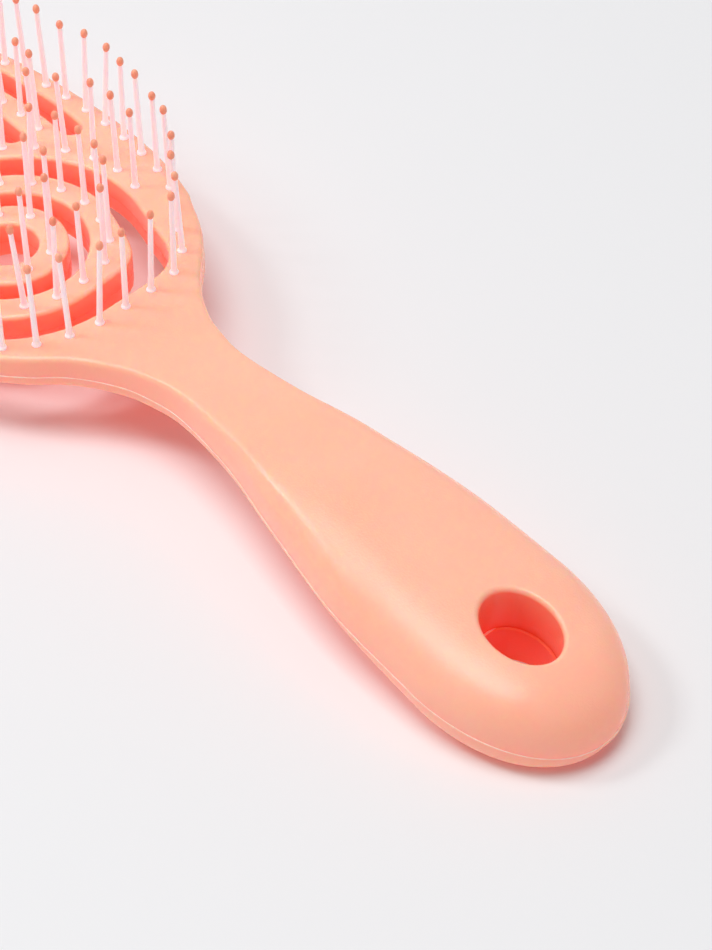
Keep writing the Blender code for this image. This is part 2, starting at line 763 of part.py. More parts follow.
def build_front(plastic, pin_centres, strip_list):
    front = half_shell("front_frame", stations(), half_width, front_depth, 1.0,
                       SEAM_GAP / 2.0, FRONT_COLUMNS)
    sockets = posts("peg_sockets", peg_places(), PEG_DIAMETER + 2.0 * PEG_CLEARANCE,
                    -OVERRUN, PEG_LENGTH + PEG_CLEARANCE)
    boolean(front, sockets, "DIFFERENCE")
    boolean(front, pocket_cutter(), "DIFFERENCE")
    boolean(front, hole_cutter("front_hole", 0.0, True), "DIFFERENCE")
    past = SLOT_EDGE_CHAMFER / 2.0
    chamfer_levels = (
        (0.0, -OVERRUN), (0.0, HEAD_FRONT_DEPTH - SLOT_EDGE_CHAMFER),
        (SLOT_EDGE_CHAMFER + past, HEAD_FRONT_DEPTH + past),
        (SLOT_EDGE_CHAMFER + past, HEAD_FRONT_DEPTH + OVERRUN),
    )
    for name, outline in slot_outlines().items():
        boolean(front, make_cutter(arched_prism(f"front_{name}", outline, chamfer_levels)),
                "DIFFERENCE")
    groove_levels = ((0.0, -OVERRUN), (0.0, HEAD_FRONT_DEPTH - GROOVE_ROOF))
    for label, path, places in strip_list:
        outline = strip_outline(path, places, STRIP_CLEARANCE)
        groove = make_cutter(arched_prism(f"groove_{label}", outline, groove_levels))
        boolean(front, groove, "DIFFERENCE")
    holes = make_cutter(joined("pin_holes", [hole_stack(centre) for centre in pin_centres]))
    boolean(front, holes, "DIFFERENCE")
    front.data.materials.append(plastic)
    return front


def build_back(plastic):
    back = half_shell("back_cover", stations(), half_width, back_depth, -1.0,
                      -SEAM_GAP / 2.0, BACK_COLUMNS)
    pegs = posts("pegs", peg_places(), PEG_DIAMETER, -HANDLE_BACK_DEPTH / 4.0, PEG_LENGTH)
    boolean(back, pegs, "UNION")
    boolean(back, hole_cutter("back_hole", BACK_HOLE_STEP, False), "DIFFERENCE")
    for name, outline in slot_outlines().items():
        levels = ((0.0, -HEAD_BACK_DEPTH - OVERRUN), (0.0, OVERRUN))
        boolean(back, make_cutter(arched_prism(f"back_{name}", outline, levels)), "DIFFERENCE")
    bed = joined("table_cutter", [lathe_stack([
        [(-HEAD_WIDTH, -HEAD_WIDTH, z), (HEAD_WIDTH, -HEAD_WIDTH, z),
         (HEAD_WIDTH, BRUSH_LENGTH + HEAD_WIDTH, z), (-HEAD_WIDTH, BRUSH_LENGTH + HEAD_WIDTH, z)]
        for z in (-HEAD_WIDTH, 0.0)])])
    boolean(back, make_cutter(bed), "DIFFERENCE")
    back.data.materials.append(plastic)
    return back


def main():
    for obj in list(bpy.data.objects):
        bpy.data.objects.remove(obj, do_unlink=True)
    coral = material("coral_plastic", (0.93, 0.42, 0.28), 0.42)
    coral_back = material("coral_back_plastic", (0.93, 0.42, 0.28), 0.45)
    nylon = material("white_nylon", (0.90, 0.86, 0.88), 0.35)
    rng = random.Random(PIN_SEED)
    strip_list = strips()
    centres = []
    for label, path, places in strip_list:
        centres += build_strip(label, path, places, nylon, rng)
    build_front(coral, centres, strip_list)
    build_back(coral_back)
    print("pins", len(centres), "strips", len(strip_list))


main()
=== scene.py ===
# %% [markdown]
# # A vented hairbrush, one piece at a time
#
# The brush lies on its back on a pale table, with its pins up. It is two moulded
# shells of coral plastic that meet at an arched seam. The head is an open pattern of
# coiled and arched bands, and ball-tipped nylon pins stand on the bands in rows.
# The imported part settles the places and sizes. This script adds the fine shapes and
# the finishes around it, in metres, in the same frame.

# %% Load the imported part
import bisect
import math
import random

import bpy
import bmesh
from mathutils import Matrix, Vector
from mathutils.geometry import tessellate_polygon


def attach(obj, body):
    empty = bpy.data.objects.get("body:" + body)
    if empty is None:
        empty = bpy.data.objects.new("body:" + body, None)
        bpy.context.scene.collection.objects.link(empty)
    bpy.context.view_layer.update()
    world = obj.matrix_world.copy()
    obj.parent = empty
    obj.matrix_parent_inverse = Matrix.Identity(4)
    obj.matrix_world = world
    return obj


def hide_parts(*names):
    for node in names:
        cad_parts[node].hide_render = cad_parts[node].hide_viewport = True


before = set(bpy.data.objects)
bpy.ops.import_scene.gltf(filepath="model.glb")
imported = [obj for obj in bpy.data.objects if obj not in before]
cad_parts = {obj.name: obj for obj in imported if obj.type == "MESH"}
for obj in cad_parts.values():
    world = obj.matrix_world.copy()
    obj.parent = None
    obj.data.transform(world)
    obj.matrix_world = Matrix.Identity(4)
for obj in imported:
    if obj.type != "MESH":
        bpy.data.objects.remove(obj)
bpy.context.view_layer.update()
print("nodes", len(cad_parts))

# %% [markdown]
# ## Camera
#
# The camera looks down on the butt of the handle from its left, through a long lens,
# so the handle lies across the picture and the head leaves it at the upper left.
# The place, the direction and the lens come from a fit of the brush's outline.

# %% Camera
CAMERA_PLACE = Vector((-0.2191, -0.2860, 0.3574))
CAMERA_FORWARD = Vector((0.474, 0.495, -0.728)).normalized()
CAMERA_ROLL_DEGREES = 0.27
CAMERA_LENS_MM = 111.3
CAMERA_SENSOR_MM = 36.0
CAMERA_NEAREST = 0.01

lens = bpy.data.cameras.new("camera")
lens.lens = CAMERA_LENS_MM
lens.sensor_width = CAMERA_SENSOR_MM
lens.clip_start = CAMERA_NEAREST
camera = bpy.data.objects.new("camera", lens)
bpy.context.scene.collection.objects.link(camera)
aim = CAMERA_FORWARD.to_track_quat("-Z", "Y").to_matrix().to_4x4()
roll = Matrix.Rotation(math.radians(CAMERA_ROLL_DEGREES), 4, "Z")
camera.rotation_euler = (aim @ roll).to_euler()
camera.location = CAMERA_PLACE
bpy.context.scene.camera = camera
print("camera", [round(v, 3) for v in camera.location])

# %% [markdown]
# ## Light
#
# The photograph was taken in a bright white studio. Most of the light comes from a
# broad softbox overhead. A small one to the left draws the long highlight on the grip.
# An even pale world stands in for the rest of the room. A photograph of a studio would
# do that too, but plain levels can be set one by one. The world is a little darker on
# the camera's side, which shades the walls that face the camera. The levels add up so
# that a flat surface shows about its own colour.

# %% World
ROOM_LEVEL = 0.40
CAMERA_SIDE_LEVEL = 0.25
CAMERA_SIDE = (-0.50, -0.87, 0.0)
DARKENING_START, DARKENING_END = -0.2, 0.9

scene = bpy.context.scene
scene.view_settings.view_transform = "Standard"
world = bpy.data.worlds.new("pale_room")
scene.world = world
world.use_nodes = True
world_nodes = world.node_tree.nodes
background = world_nodes["Background"]
background.inputs["Color"].default_value = (1.0, 1.0, 1.0, 1.0)
direction = world_nodes.new("ShaderNodeTexCoord").outputs["Generated"]
side = world_nodes.new("ShaderNodeVectorMath")
side.operation = "DOT_PRODUCT"
side.inputs[1].default_value = CAMERA_SIDE
level = world_nodes.new("ShaderNodeMapRange")
level.interpolation_type = "SMOOTHSTEP"
for socket, value in (("From Min", DARKENING_START), ("From Max", DARKENING_END),
                      ("To Min", ROOM_LEVEL), ("To Max", CAMERA_SIDE_LEVEL)):
    level.inputs[socket].default_value = value
world.node_tree.links.new(direction, side.inputs[0])
world.node_tree.links.new(side.outputs["Value"], level.inputs["Value"])
world.node_tree.links.new(level.outputs[0], background.inputs["Strength"])
print("world", ROOM_LEVEL, "to", CAMERA_SIDE_LEVEL)


# %% Softboxes
def softbox(name, direction, distance, size, watts):
    """Square area lamp that faces the brush."""
    lamp = bpy.data.lights.new(name, "AREA")
    lamp.shape = "SQUARE"
    lamp.size = size
    lamp.energy = watts
    box = bpy.data.objects.new(name, lamp)
    direction = Vector(direction).normalized()
    box.location = direction * distance
    box.rotation_euler = (-direction).to_track_quat("-Z", "Y").to_euler()
    scene.collection.objects.link(box)
    print(name, watts, "W")


softbox("key_softbox", direction=(-0.42, 0.50, 0.76), distance=1.1, size=0.22, watts=2.4)
softbox("top_softbox", direction=(-0.12, 0.03, 1.0), distance=1.5, size=0.8, watts=12.2)

# %% [markdown]
# ## Expressions for materials
#
# A node material is a small sum, so it reads best as one. Wire wraps an output socket
# and turns the usual operators into Math nodes. Finish holds a material and adds any
# other node by its type, its settings and the values of its sockets.


# %% Wire
class Wire:
    """An output socket that works in Python expressions."""

    def __init__(self, finish, socket):
        self.finish = finish
        self.socket = socket

    def maths(self, operation, first, second):
        return self.finish.add("ShaderNodeMath", {"operation": operation},
                               {0: first, 1: second})

    def __add__(self, other):
        return self.maths("ADD", self, other)

    def __radd__(self, other):
        return self.maths("ADD", other, self)

    def __sub__(self, other):
        return self.maths("SUBTRACT", self, other)

    def __rsub__(self, other):
        return self.maths("SUBTRACT", other, self)

    def __mul__(self, other):
        return self.maths("MULTIPLY", self, other)

    def __rmul__(self, other):
        return self.maths("MULTIPLY", other, self)


# %% Finish
class Finish:
    """A material under construction."""

    def __init__(self, name, constants):
        self.material = bpy.data.materials.new(name)
        self.material.use_nodes = True
        self.tree = self.material.node_tree
        self.shader = self.tree.nodes["Principled BSDF"]
        for socket, value in constants.items():
            self.shader.inputs[socket].default_value = value

    def add(self, kind, settings, values, output=0):
        """Add a node. Its settings come first, because they can change its sockets."""
        node = self.tree.nodes.new(kind)
        for name, value in settings.items():
            setattr(node, name, value)
        for name, value in values.items():
            self.feed(node.inputs[name], value)
        return Wire(self, node.outputs[output])

    def feed(self, socket, value):
        if isinstance(value, Wire):
            self.tree.links.new(value.socket, socket)
        else:
            socket.default_value = value

    def place(self):
        """Position on the piece, in metres."""
        return self.add("ShaderNodeTexCoord", {}, {}, "Object")

    def noise(self, scale, detail=2.0, rough=0.5):
        return self.add("ShaderNodeTexNoise", {}, {
            "Vector": self.place(), "Scale": scale, "Detail": detail,
            "Roughness": rough}, "Fac")

    def stored(self, name):
        """Value that the mesh stores at its points under a name."""
        return self.add("ShaderNodeAttribute", {"attribute_name": name}, {}, "Fac")

    def part_of(self, vector, axis):
        """One of a vector's three numbers."""
        return self.add("ShaderNodeSeparateXYZ", {}, {0: vector}, axis)

    def blend(self, factor, first, second):
        """Mix two colours, where each is a wire or three numbers."""
        first, second = [c if isinstance(c, Wire) else (*c, 1.0) for c in (first, second)]
        return self.add("ShaderNodeMix", {"data_type": "RGBA"},
                        {0: factor, 6: first, 7: second}, 2)

    def spread(self, wire, low, high):
        """Stretch a value so that it runs from 0 to 1 between two limits."""
        return self.add("ShaderNodeMapRange", {"clamp": True},
                        {"Value": wire, "From Min": low, "From Max": high})

    def shade(self, socket, value):
        self.feed(self.shader.inputs[socket], value)

    def bump(self, height, distance):
        self.shade("Normal", self.add("ShaderNodeBump", {},
                                      {"Height": height, "Distance": distance}, "Normal"))


print("material helpers ready")

# %% [markdown]
# ## Coral plastic
#
# Both shells are one satin plastic. Its mould has a fine spark-eroded grain, which
# breaks up the lamp's reflection, and the finish is a little uneven where hands polish
# it. The colour hardly varies.
#
# The plastic is a little translucent. Light that comes through its walls makes the slots and
# the hanging hole redder inside, and the underside throws pink light on the table. Here that
# light is painted, with levels set one by one, so that each place can be matched to the
# photograph.
# Each shell stores two values at its points. The shader turns one into painted shade, a
# deeper colour in the slots and the hole, and the other into a faint painted red glow. The
# pink light from the underside is painted too, and comes from how far the surface faces down.
# It is redder under the thin head than under the thick handle.

# %% Colours and painted light of the coral plastic
CORAL = (0.99, 0.56, 0.40)
CORAL_PALE = (0.995, 0.585, 0.425)
# Painted shade: the deeper, redder colour inside the slots and the hanging hole.
CORAL_RECESS_SHADE = (0.93, 0.145, 0.065)
# Painted light: the emission colours below make a red glow in the faces and walls.
NO_LIGHT = (0.0, 0.0, 0.0)
PAINTED_RED_LIGHT = (1.0, 0.0, 0.0)
# Painted light: pink and red light that the downward faces throw on the table, redder under
# the head.
HANDLE_UNDER_PAINTED_LIGHT = (0.36, 0.10, 0.08)
HEAD_UNDER_PAINTED_LIGHT = (0.34, 0.0, 0.0)
NECK_START_Y, NECK_END_Y = -0.03, 0.0
DOWN_START, DOWN_END = 0.3, 0.9
CORAL_SCATTER = (1.0, 0.22, 0.10)
CORAL_CONSTANTS = {
    "Metallic": 0.0, "IOR": 1.47, "Subsurface Weight": 1.0,
    "Subsurface Radius": CORAL_SCATTER, "Subsurface Scale": 0.006,
    "Sheen Weight": 0.12, "Sheen Roughness": 0.25, "Sheen Tint": (1.0, 0.85, 0.82, 1.0),
    "Emission Strength": 1.0}
print("coral", CORAL, "deep in a wall", CORAL_RECESS_SHADE)

# %% Coral plastic
NOISE_LOW, NOISE_HIGH = 0.35, 0.65
PATCH_SCALE = 45.0
PATCH_MIDDLE = 0.6
PATCH_ROUGHNESS = 0.05
GRAIN_SCALE = 2600.0
GRAIN_HEIGHT = 0.00005
GRAIN_ROUGHNESS = 0.04
FRONT_ROUGHNESS = 0.22
BACK_ROUGHNESS = 0.34


def coral_plastic(name, roughness, painted_under_light_share):
    finish = Finish(name, CORAL_CONSTANTS)
    patches = finish.spread(finish.noise(PATCH_SCALE), NOISE_LOW, NOISE_HIGH)
    grain = finish.noise(GRAIN_SCALE, detail=3.0, rough=0.6)
    face = finish.blend(patches, CORAL, CORAL_PALE)
    # Painted shade: the colour deepens where the slots and the hole go down.
    finish.shade("Base Color", finish.blend(finish.stored("recess_shade"), face, CORAL_RECESS_SHADE))
    # The emission is painted light: a red glow from a stored value, and pink light from faces
    # that look down.
    normal = finish.add("ShaderNodeNewGeometry", {}, {}, "Normal")
    down = 0.0 - finish.part_of(normal, "Z")
    headward = finish.spread(finish.part_of(finish.place(), "Y"), NECK_START_Y, NECK_END_Y)
    finish.shade("Emission Color", finish.blend(
        painted_under_light_share * finish.spread(down, DOWN_START, DOWN_END),
        finish.blend(finish.stored("painted_glow"), NO_LIGHT, PAINTED_RED_LIGHT),
        finish.blend(headward, HANDLE_UNDER_PAINTED_LIGHT, HEAD_UNDER_PAINTED_LIGHT)))
    finish.shade("Roughness", roughness + (patches - PATCH_MIDDLE) * PATCH_ROUGHNESS
                 + GRAIN_ROUGHNESS * grain)
    finish.bump(grain, GRAIN_HEIGHT)
    return finish.material


front_coral = coral_plastic("coral_front", FRONT_ROUGHNESS, painted_under_light_share=0.0)
back_coral = coral_plastic("coral_back", BACK_ROUGHNESS, painted_under_light_share=1.0)
print("plastics", front_coral.name, back_coral.name)

# %% [markdown]
# ## Nylon and ball tips
#
# The pins are milky nylon, and their colour holds a pink tint of painted light, for the coral
# around them that the nylon picks up. Each ends in a smooth warm ball. A little light passes
# through both, so both get subsurface light, and a faint painted light of their own, an
# emission, stands for what the bright room sends through them. One function makes both
# finishes, because only the colours and the gloss differ.

# %% Nylon and ball tips
NYLON = (1.0, 0.90, 0.92)
NYLON_WARM = (1.0, 0.87, 0.89)
NYLON_PAINTED_LIGHT = (0.24, 0.17, 0.19)
TIP = (0.89, 0.32, 0.20)
TIP_PALE = (0.95, 0.46, 0.31)
TIP_PAINTED_LIGHT = (0.13, 0.03, 0.015)
CLOUD_SCALE = 260.0
CLOUD_ROUGHNESS = 0.08
NYLON_GRAIN_SCALE = 3000.0
NYLON_GRAIN_HEIGHT = 0.000004


# The light given to this function is painted light, an emission in the nylon's finish.
def nylon(name, first, second, light, roughness):
    finish = Finish(name, {"Metallic": 0.0, "IOR": 1.53, "Subsurface Weight": 0.35,
                           "Subsurface Scale": 0.001, "Emission Color": (*light, 1.0),
                           "Emission Strength": 1.0})
    cloud = finish.spread(finish.noise(CLOUD_SCALE), NOISE_LOW, NOISE_HIGH)
    finish.shade("Base Color", finish.blend(cloud, first, second))
    finish.shade("Roughness", roughness + CLOUD_ROUGHNESS * cloud)
    finish.bump(finish.noise(NYLON_GRAIN_SCALE), NYLON_GRAIN_HEIGHT)
    return finish.material


pin_nylon = nylon("pin_nylon", NYLON, NYLON_WARM, NYLON_PAINTED_LIGHT, roughness=0.30)
tip_nylon = nylon("ball_tip", TIP, TIP_PALE, TIP_PAINTED_LIGHT, roughness=0.34)
print("nylons", pin_nylon.name, tip_nylon.name)

# %% [markdown]
# ## Table
#
# The table is a plain pale sheet. It takes the soft shadow and the pink light that
# comes off the brush. One flat face is enough for that, and its tone drifts so little
# that it still looks plain.

# %% Table
TABLE_HALF = 3.0
TABLE_COLOUR = (0.878, 0.878, 0.893)
TABLE_SHADED = tuple(0.99 * channel for channel in TABLE_COLOUR)
TABLE_PATCH_SCALE = 6.0
TABLE_LOW, TABLE_HIGH = 0.3, 0.7

table_finish = Finish("pale_table", {"Roughness": 0.7, "Specular IOR Level": 0.2})
table_patches = table_finish.spread(table_finish.noise(TABLE_PATCH_SCALE),
                                    TABLE_LOW, TABLE_HIGH)
table_finish.shade("Base Color",
                   table_finish.blend(table_patches, TABLE_COLOUR, TABLE_SHADED))
table_mesh = bpy.data.meshes.new("table")
table_mesh.from_pydata([(-TABLE_HALF, -TABLE_HALF, 0.0), (TABLE_HALF, -TABLE_HALF, 0.0),
                        (TABLE_HALF, TABLE_HALF, 0.0), (-TABLE_HALF, TABLE_HALF, 0.0)],
                       [], [(0, 1, 2, 3)])
table_mesh.materials.append(table_finish.material)
table = bpy.data.objects.new("table", table_mesh)
scene.collection.objects.link(table)
print("table", 2.0 * TABLE_HALF, "m wide")

# %% [markdown]
# ## The brush's own curves
#
# The outline, the arch of the seam and the depth of each shell are smooth curves along
# the brush. They could be drawn as Bezier curves, but small tables of numbers are
# easier to fit to a photograph. They repeat the part's own sizes, so the fine shells
# land where the plain solids are, with many more sections and a slightly tighter edge
# at the head. Here y runs from 0 at the butt to the full length at the tip.

# %% Sizes of the brush
BRUSH_LENGTH = 0.225
HEAD_LENGTH = 0.1185
HEAD_WIDTH = 0.0666
HANDLE_WIDTH = 0.0338
HANDLE_LENGTH = BRUSH_LENGTH - HEAD_LENGTH
HEAD_CENTRE_Y = BRUSH_LENGTH - HEAD_LENGTH / 2.0
print("handle", round(HANDLE_LENGTH, 4), "head", HEAD_LENGTH)


# %% Easing and tables
def smooth(t):
    """Ease from 0 to 1 with level ends."""
    t = min(max(t, 0.0), 1.0)
    return t * t * (3.0 - 2.0 * t)


def table_value(table, x):
    """Monotone cubic through the points of a small table."""
    if x <= table[0][0]:
        return table[0][1]
    if x >= table[-1][0]:
        return table[-1][1]
    slopes = [(b[1] - a[1]) / (b[0] - a[0]) for a, b in zip(table, table[1:])]
    tangents = [slopes[0]]
    for before, after in zip(slopes, slopes[1:]):
        turns_back = before * after <= 0.0
        tangents.append(0.0 if turns_back else 2.0 * before * after / (before + after))
    tangents.append(slopes[-1])
    i = max(k for k in range(len(slopes)) if table[k][0] <= x)
    a, b = table[i], table[i + 1]
    span = b[0] - a[0]
    t = (x - a[0]) / span
    keep = (1.0 + 2.0 * t) * (1.0 - t) ** 2 * a[1] + t * t * (3.0 - 2.0 * t) * b[1]
    lean = t * (1.0 - t) ** 2 * tangents[i] - t * t * (1.0 - t) * tangents[i + 1]
    return keep + span * lean


def oval_half(reach, exponent):
    """Half width of a squared oval, as a share, at a share of the way to its end."""
    return max(0.0, 1.0 - min(abs(reach), 1.0) ** exponent) ** (1.0 / exponent)


print("halfway eased", smooth(0.5))

# %% Arch of the seam
SEAM_HEIGHTS = (0.0042, 0.0137, 0.0028)
SEAM_CREST_FROM_TIP = 0.117
SEAM_CURVE = 1.7


def seam_height(y):
    """Height of the seam over the table: one long arch from butt to tip."""
    butt, crest, tip = SEAM_HEIGHTS
    crest_y = BRUSH_LENGTH - SEAM_CREST_FROM_TIP
    if y < crest_y:
        end, reach = butt, (crest_y - y) / crest_y
    else:
        end, reach = tip, (y - crest_y) / SEAM_CREST_FROM_TIP
    return end + (crest - end) * (1.0 - min(reach, 1.0) ** SEAM_CURVE)


print("seam at the neck", round(seam_height(HANDLE_LENGTH), 4))

# %% Outline from above
HEAD_SQUARENESS = 2.5
BUTT_SQUARENESS = 2.05
HANDLE_WIDTHS = ((0.229, 1.0), (0.382, 0.953), (0.575, 0.72), (0.736, 0.487),
                 (0.845, 0.427), (0.923, 0.515), (0.974, 0.658))
FLARE_WIDTHS = ((0.026, 0.458), (0.0574, 0.576), (0.1, 0.7), (0.1646, 0.825))
WIDTH_POINTS = ([(HANDLE_LENGTH * y, HANDLE_WIDTH / 2.0 * w) for y, w in HANDLE_WIDTHS]
                + [(HANDLE_LENGTH + HEAD_LENGTH * y, HEAD_WIDTH / 2.0 * w)
                   for y, w in FLARE_WIDTHS])


def half_width(y):
    """Half the width of the brush seen from above."""
    if y < WIDTH_POINTS[0][0]:
        reach = 1.0 - max(y, 0.0) / WIDTH_POINTS[0][0]
        return HANDLE_WIDTH / 2.0 * oval_half(reach, BUTT_SQUARENESS)
    if y < WIDTH_POINTS[-1][0]:
        return table_value(WIDTH_POINTS, y)
    return HEAD_WIDTH / 2.0 * oval_half((y - HEAD_CENTRE_Y) / (HEAD_LENGTH / 2.0),
                                        HEAD_SQUARENESS)


print("outline points", len(WIDTH_POINTS))

# %% Depth of the shells
HANDLE_FRONT_DEPTH = 0.0090
NECK_FRONT_DEPTH = 0.0062
HEAD_FRONT_DEPTH = 0.0043
HANDLE_BACK_DEPTH = 0.0074
NECK_BACK_DEPTH = 0.0037
HEAD_BACK_DEPTH = 0.0033
FRONT_DEPTHS = ((0.0, 0.89), (0.197, 1.0), (0.499, 1.0),
                (0.798, NECK_FRONT_DEPTH / HANDLE_FRONT_DEPTH),
                (0.987, HEAD_FRONT_DEPTH / HANDLE_FRONT_DEPTH))
BACK_DEPTHS = ((0.0, 0.72), (0.178, 1.0), (0.499, NECK_BACK_DEPTH / HANDLE_BACK_DEPTH),
               (0.798, NECK_BACK_DEPTH / HANDLE_BACK_DEPTH),
               (1.033, HEAD_BACK_DEPTH / HANDLE_BACK_DEPTH))
BUTT_ROUNDING, BUTT_ROUNDING_SQUARENESS = 0.013, 2.3
TIP_ROUNDING, TIP_ROUNDING_SQUARENESS = 0.0016, 2.0


def end_rounding(y):
    """Share of the full depth that is left near the butt and near the tip."""
    if y < BUTT_ROUNDING:
        return oval_half(1.0 - y / BUTT_ROUNDING, BUTT_ROUNDING_SQUARENESS)
    if y > BRUSH_LENGTH - TIP_ROUNDING:
        return oval_half(1.0 - (BRUSH_LENGTH - y) / TIP_ROUNDING, TIP_ROUNDING_SQUARENESS)
    return 1.0


def front_depth(y):
    return HANDLE_FRONT_DEPTH * table_value(FRONT_DEPTHS, y / HANDLE_LENGTH) * end_rounding(y)


def back_depth(y):
    return HANDLE_BACK_DEPTH * table_value(BACK_DEPTHS, y / HANDLE_LENGTH) * end_rounding(y)


print("depth of the grip", round(front_depth(HANDLE_LENGTH / 2.0), 4))

# %% [markdown]
# ## Lofted shells
#
# Each shell is lofted through about two hundred sections. A section is a squared oval
# over a flat side that lies on the seam. The oval is nearly round along the grip, so
# that the hand meets no edge, and has a flat face with a tight edge at the head. A
# subdivided cage would need fewer points, but here one number, the oval's exponent,
# says how tight the edge is at each place.

# %% Sections
FRONT_EXPONENTS = ((0.0, 2.9), (0.38, 3.0), (0.55, 3.8), (0.68, 6.5), (0.8, 9.5),
                   (0.95, 12.0), (3.0, 12.0))
BACK_EXPONENTS = ((0.0, 2.9), (0.798, 3.0), (1.108, 4.5), (3.0, 4.5))
MIDDLE_STATIONS = 120
END_STATIONS = 46
HALF_COLUMNS = 24
SEAM_GAP = 0.00004


def stations():
    """Places of the sections, close together where the outline turns fast."""
    butt, head = WIDTH_POINTS[0][0], HEAD_LENGTH / 2.0
    places = []
    for k in range(END_STATIONS):
        turn = math.sin(math.pi / 2.0 * (1.0 - k / END_STATIONS))
        places.append(butt * (1.0 - turn ** (2.0 / BUTT_SQUARENESS)))
    for k in range(MIDDLE_STATIONS):
        places.append(butt + (HEAD_CENTRE_Y - butt) * k / MIDDLE_STATIONS)
    for k in range(END_STATIONS + 1):
        turn = math.sin(math.pi / 2.0 * k / END_STATIONS)
        places.append(HEAD_CENTRE_Y + head * turn ** (2.0 / HEAD_SQUARENESS))
    return places


def section(y, side):
    """Points of one section, from its left edge over the crown to its right edge."""
    table, depth = ((FRONT_EXPONENTS, front_depth(y)) if side > 0
                    else (BACK_EXPONENTS, back_depth(y)))
    exponent, width = table_value(table, y / HANDLE_LENGTH), half_width(y)
    half = []
    for k in range(HALF_COLUMNS + 1):
        rise = math.sin(math.pi / 2.0 * k / HALF_COLUMNS) ** (2.0 / exponent)
        half.append((width * oval_half(rise, exponent), rise))
    return [(x, y, seam_height(y) + side * max(depth * rise, SEAM_GAP / 2.0))
            for x, rise in [(-x, rise) for x, rise in half] + half[-2::-1]]


print("sections", len(stations()))

# %% Loft
SAME_POINT = 1e-7


def new_piece(name, mesh):
    """Object in the part's frame, whose origin is the middle of the footprint."""
    mesh.transform(Matrix.Translation((0.0, -BRUSH_LENGTH / 2.0, 0.0)))
    obj = bpy.data.objects.new(name, mesh)
    scene.collection.objects.link(obj)
    return obj


def closed_mesh(name, vertices, faces):
    """Object whose doubled points are joined and whose faces point out."""
    mesh = bpy.data.meshes.new(name)
    mesh.from_pydata(vertices, [], faces)
    bm = bmesh.new()
    bm.from_mesh(mesh)
    bmesh.ops.remove_doubles(bm, verts=bm.verts, dist=SAME_POINT)
    bmesh.ops.recalc_face_normals(bm, faces=bm.faces)
    bm.to_mesh(mesh)
    bm.free()
    return new_piece(name, mesh)


def shell(name, side):
    """Solid between the seam and the rounded sections."""
    rows = [section(y, side) for y in stations()]
    count = len(rows[0])
    vertices = [point for row in rows for point in row]
    faces = []
    for i in range(len(rows) - 1):
        near, far = i * count, (i + 1) * count
        for k in range(count - 1):
            faces.append((near + k, near + k + 1, far + k + 1, far + k))
        faces.append((near + count - 1, near, far, far + count - 1))
    return closed_mesh(name, vertices, faces)


front_shell = shell("front_shell", 1.0)
back_shell = shell("back_shell", -1.0)
print("shell faces", len(front_shell.data.polygons), len(back_shell.data.polygons))

# %% [markdown]
# ## The open pattern of the head
#
# Two slots wind into a round coil above the neck, and three arched slots sit one
# inside the other towards the tip. What is left between them are the springy bands
# that carry the pins. Each slot starts as a flat outline. It could be drawn by hand, but
# one that is worked out follows when the rim or the head changes. The coil's two edges
# are spirals whose distance from the middle is a small table, and an arched slot is a
# ribbon of one width along half a squared oval.

# %% Sizes of the pattern
RIM_WIDTH = 0.00495
TIP_RIM_WIDTH = 0.00575
COIL_RIM_WIDTH = 0.0044
WINDOW_X = HEAD_WIDTH / 2.0 - RIM_WIDTH
WINDOW_Y = HEAD_LENGTH / 2.0 - TIP_RIM_WIDTH
print("space inside the rim", round(2.0 * WINDOW_X, 4), round(2.0 * WINDOW_Y, 4))

# %% Edges of the coil's slot
COIL_X, COIL_Y, COIL_HEIGHT = -0.1129, -0.5019, 0.5511
COIL_OUTER_EDGES = (1.1817, 0.8395, 0.4903, 0.187)
COIL_INNER_EDGES = (1.0406, 0.6737, 0.3704)
COIL_SLOT_LEAST_WIDTH = 0.0016
COIL_SHIFT_START, COIL_SHIFT = 60.0, 130.0
CRESCENT, CRESCENT_SPREAD = 307.0, 17.0
CRESCENT_BULGES = (0.134, 0.081)
SLOPE_STEP = 0.002
RIM_FIT_STEPS = 12


def coil_point(degrees, share):
    """Point at an angle round the coil, at a share of the half width inside the rim."""
    angle = math.radians(degrees)
    return ((COIL_X + share * math.cos(angle)) * WINDOW_X,
            HEAD_CENTRE_Y + (COIL_Y + share * COIL_HEIGHT * math.sin(angle)) * WINDOW_Y)


def room_inside_rim(x, y):
    """How far a point lies inside the rim's inner edge, square to the outline."""
    slope = (half_width(y + SLOPE_STEP) - half_width(y - SLOPE_STEP)) / (2.0 * SLOPE_STEP)
    return (half_width(y) - abs(x)) / math.hypot(1.0, slope) - COIL_RIM_WIDTH


def coil_share(degrees, shares, bulge):
    """Edge of the coil's slot, which shifts inwards on the upper left of each turn."""
    turned = degrees - COIL_SHIFT_START
    turn = max(min(int(turned // 360.0), len(shares) - 2), 0)
    blend = smooth((turned - 360.0 * turn) / COIL_SHIFT)
    away = (degrees - CRESCENT) / CRESCENT_SPREAD
    return (shares[turn] + (shares[turn + 1] - shares[turn]) * blend
            + bulge * math.exp(-away * away))


def coil_outer(degrees):
    """Outer edge, moved in step by step until the rim has its full width."""
    share = coil_share(degrees, COIL_OUTER_EDGES, CRESCENT_BULGES[0])
    for _ in range(RIM_FIT_STEPS):
        share += min(room_inside_rim(*coil_point(degrees, share)), 0.0) / WINDOW_X
    return share


def coil_inner(degrees):
    """Inner edge, which stays clear of the outer one."""
    share = coil_share(degrees, COIL_INNER_EDGES, CRESCENT_BULGES[1])
    return min(share, coil_outer(degrees) - COIL_SLOT_LEAST_WIDTH / WINDOW_X)


print("coil's slot at its start",
      round(coil_outer(COIL_SHIFT_START) - coil_inner(COIL_SHIFT_START), 3))

# %% Outline of the coil's slot
COIL_START, COIL_END, EYE_SWEEP = 66.0, 805.0, 352.0
CURVE_TOLERANCE = 0.00002
NOSE_STEPS = 8


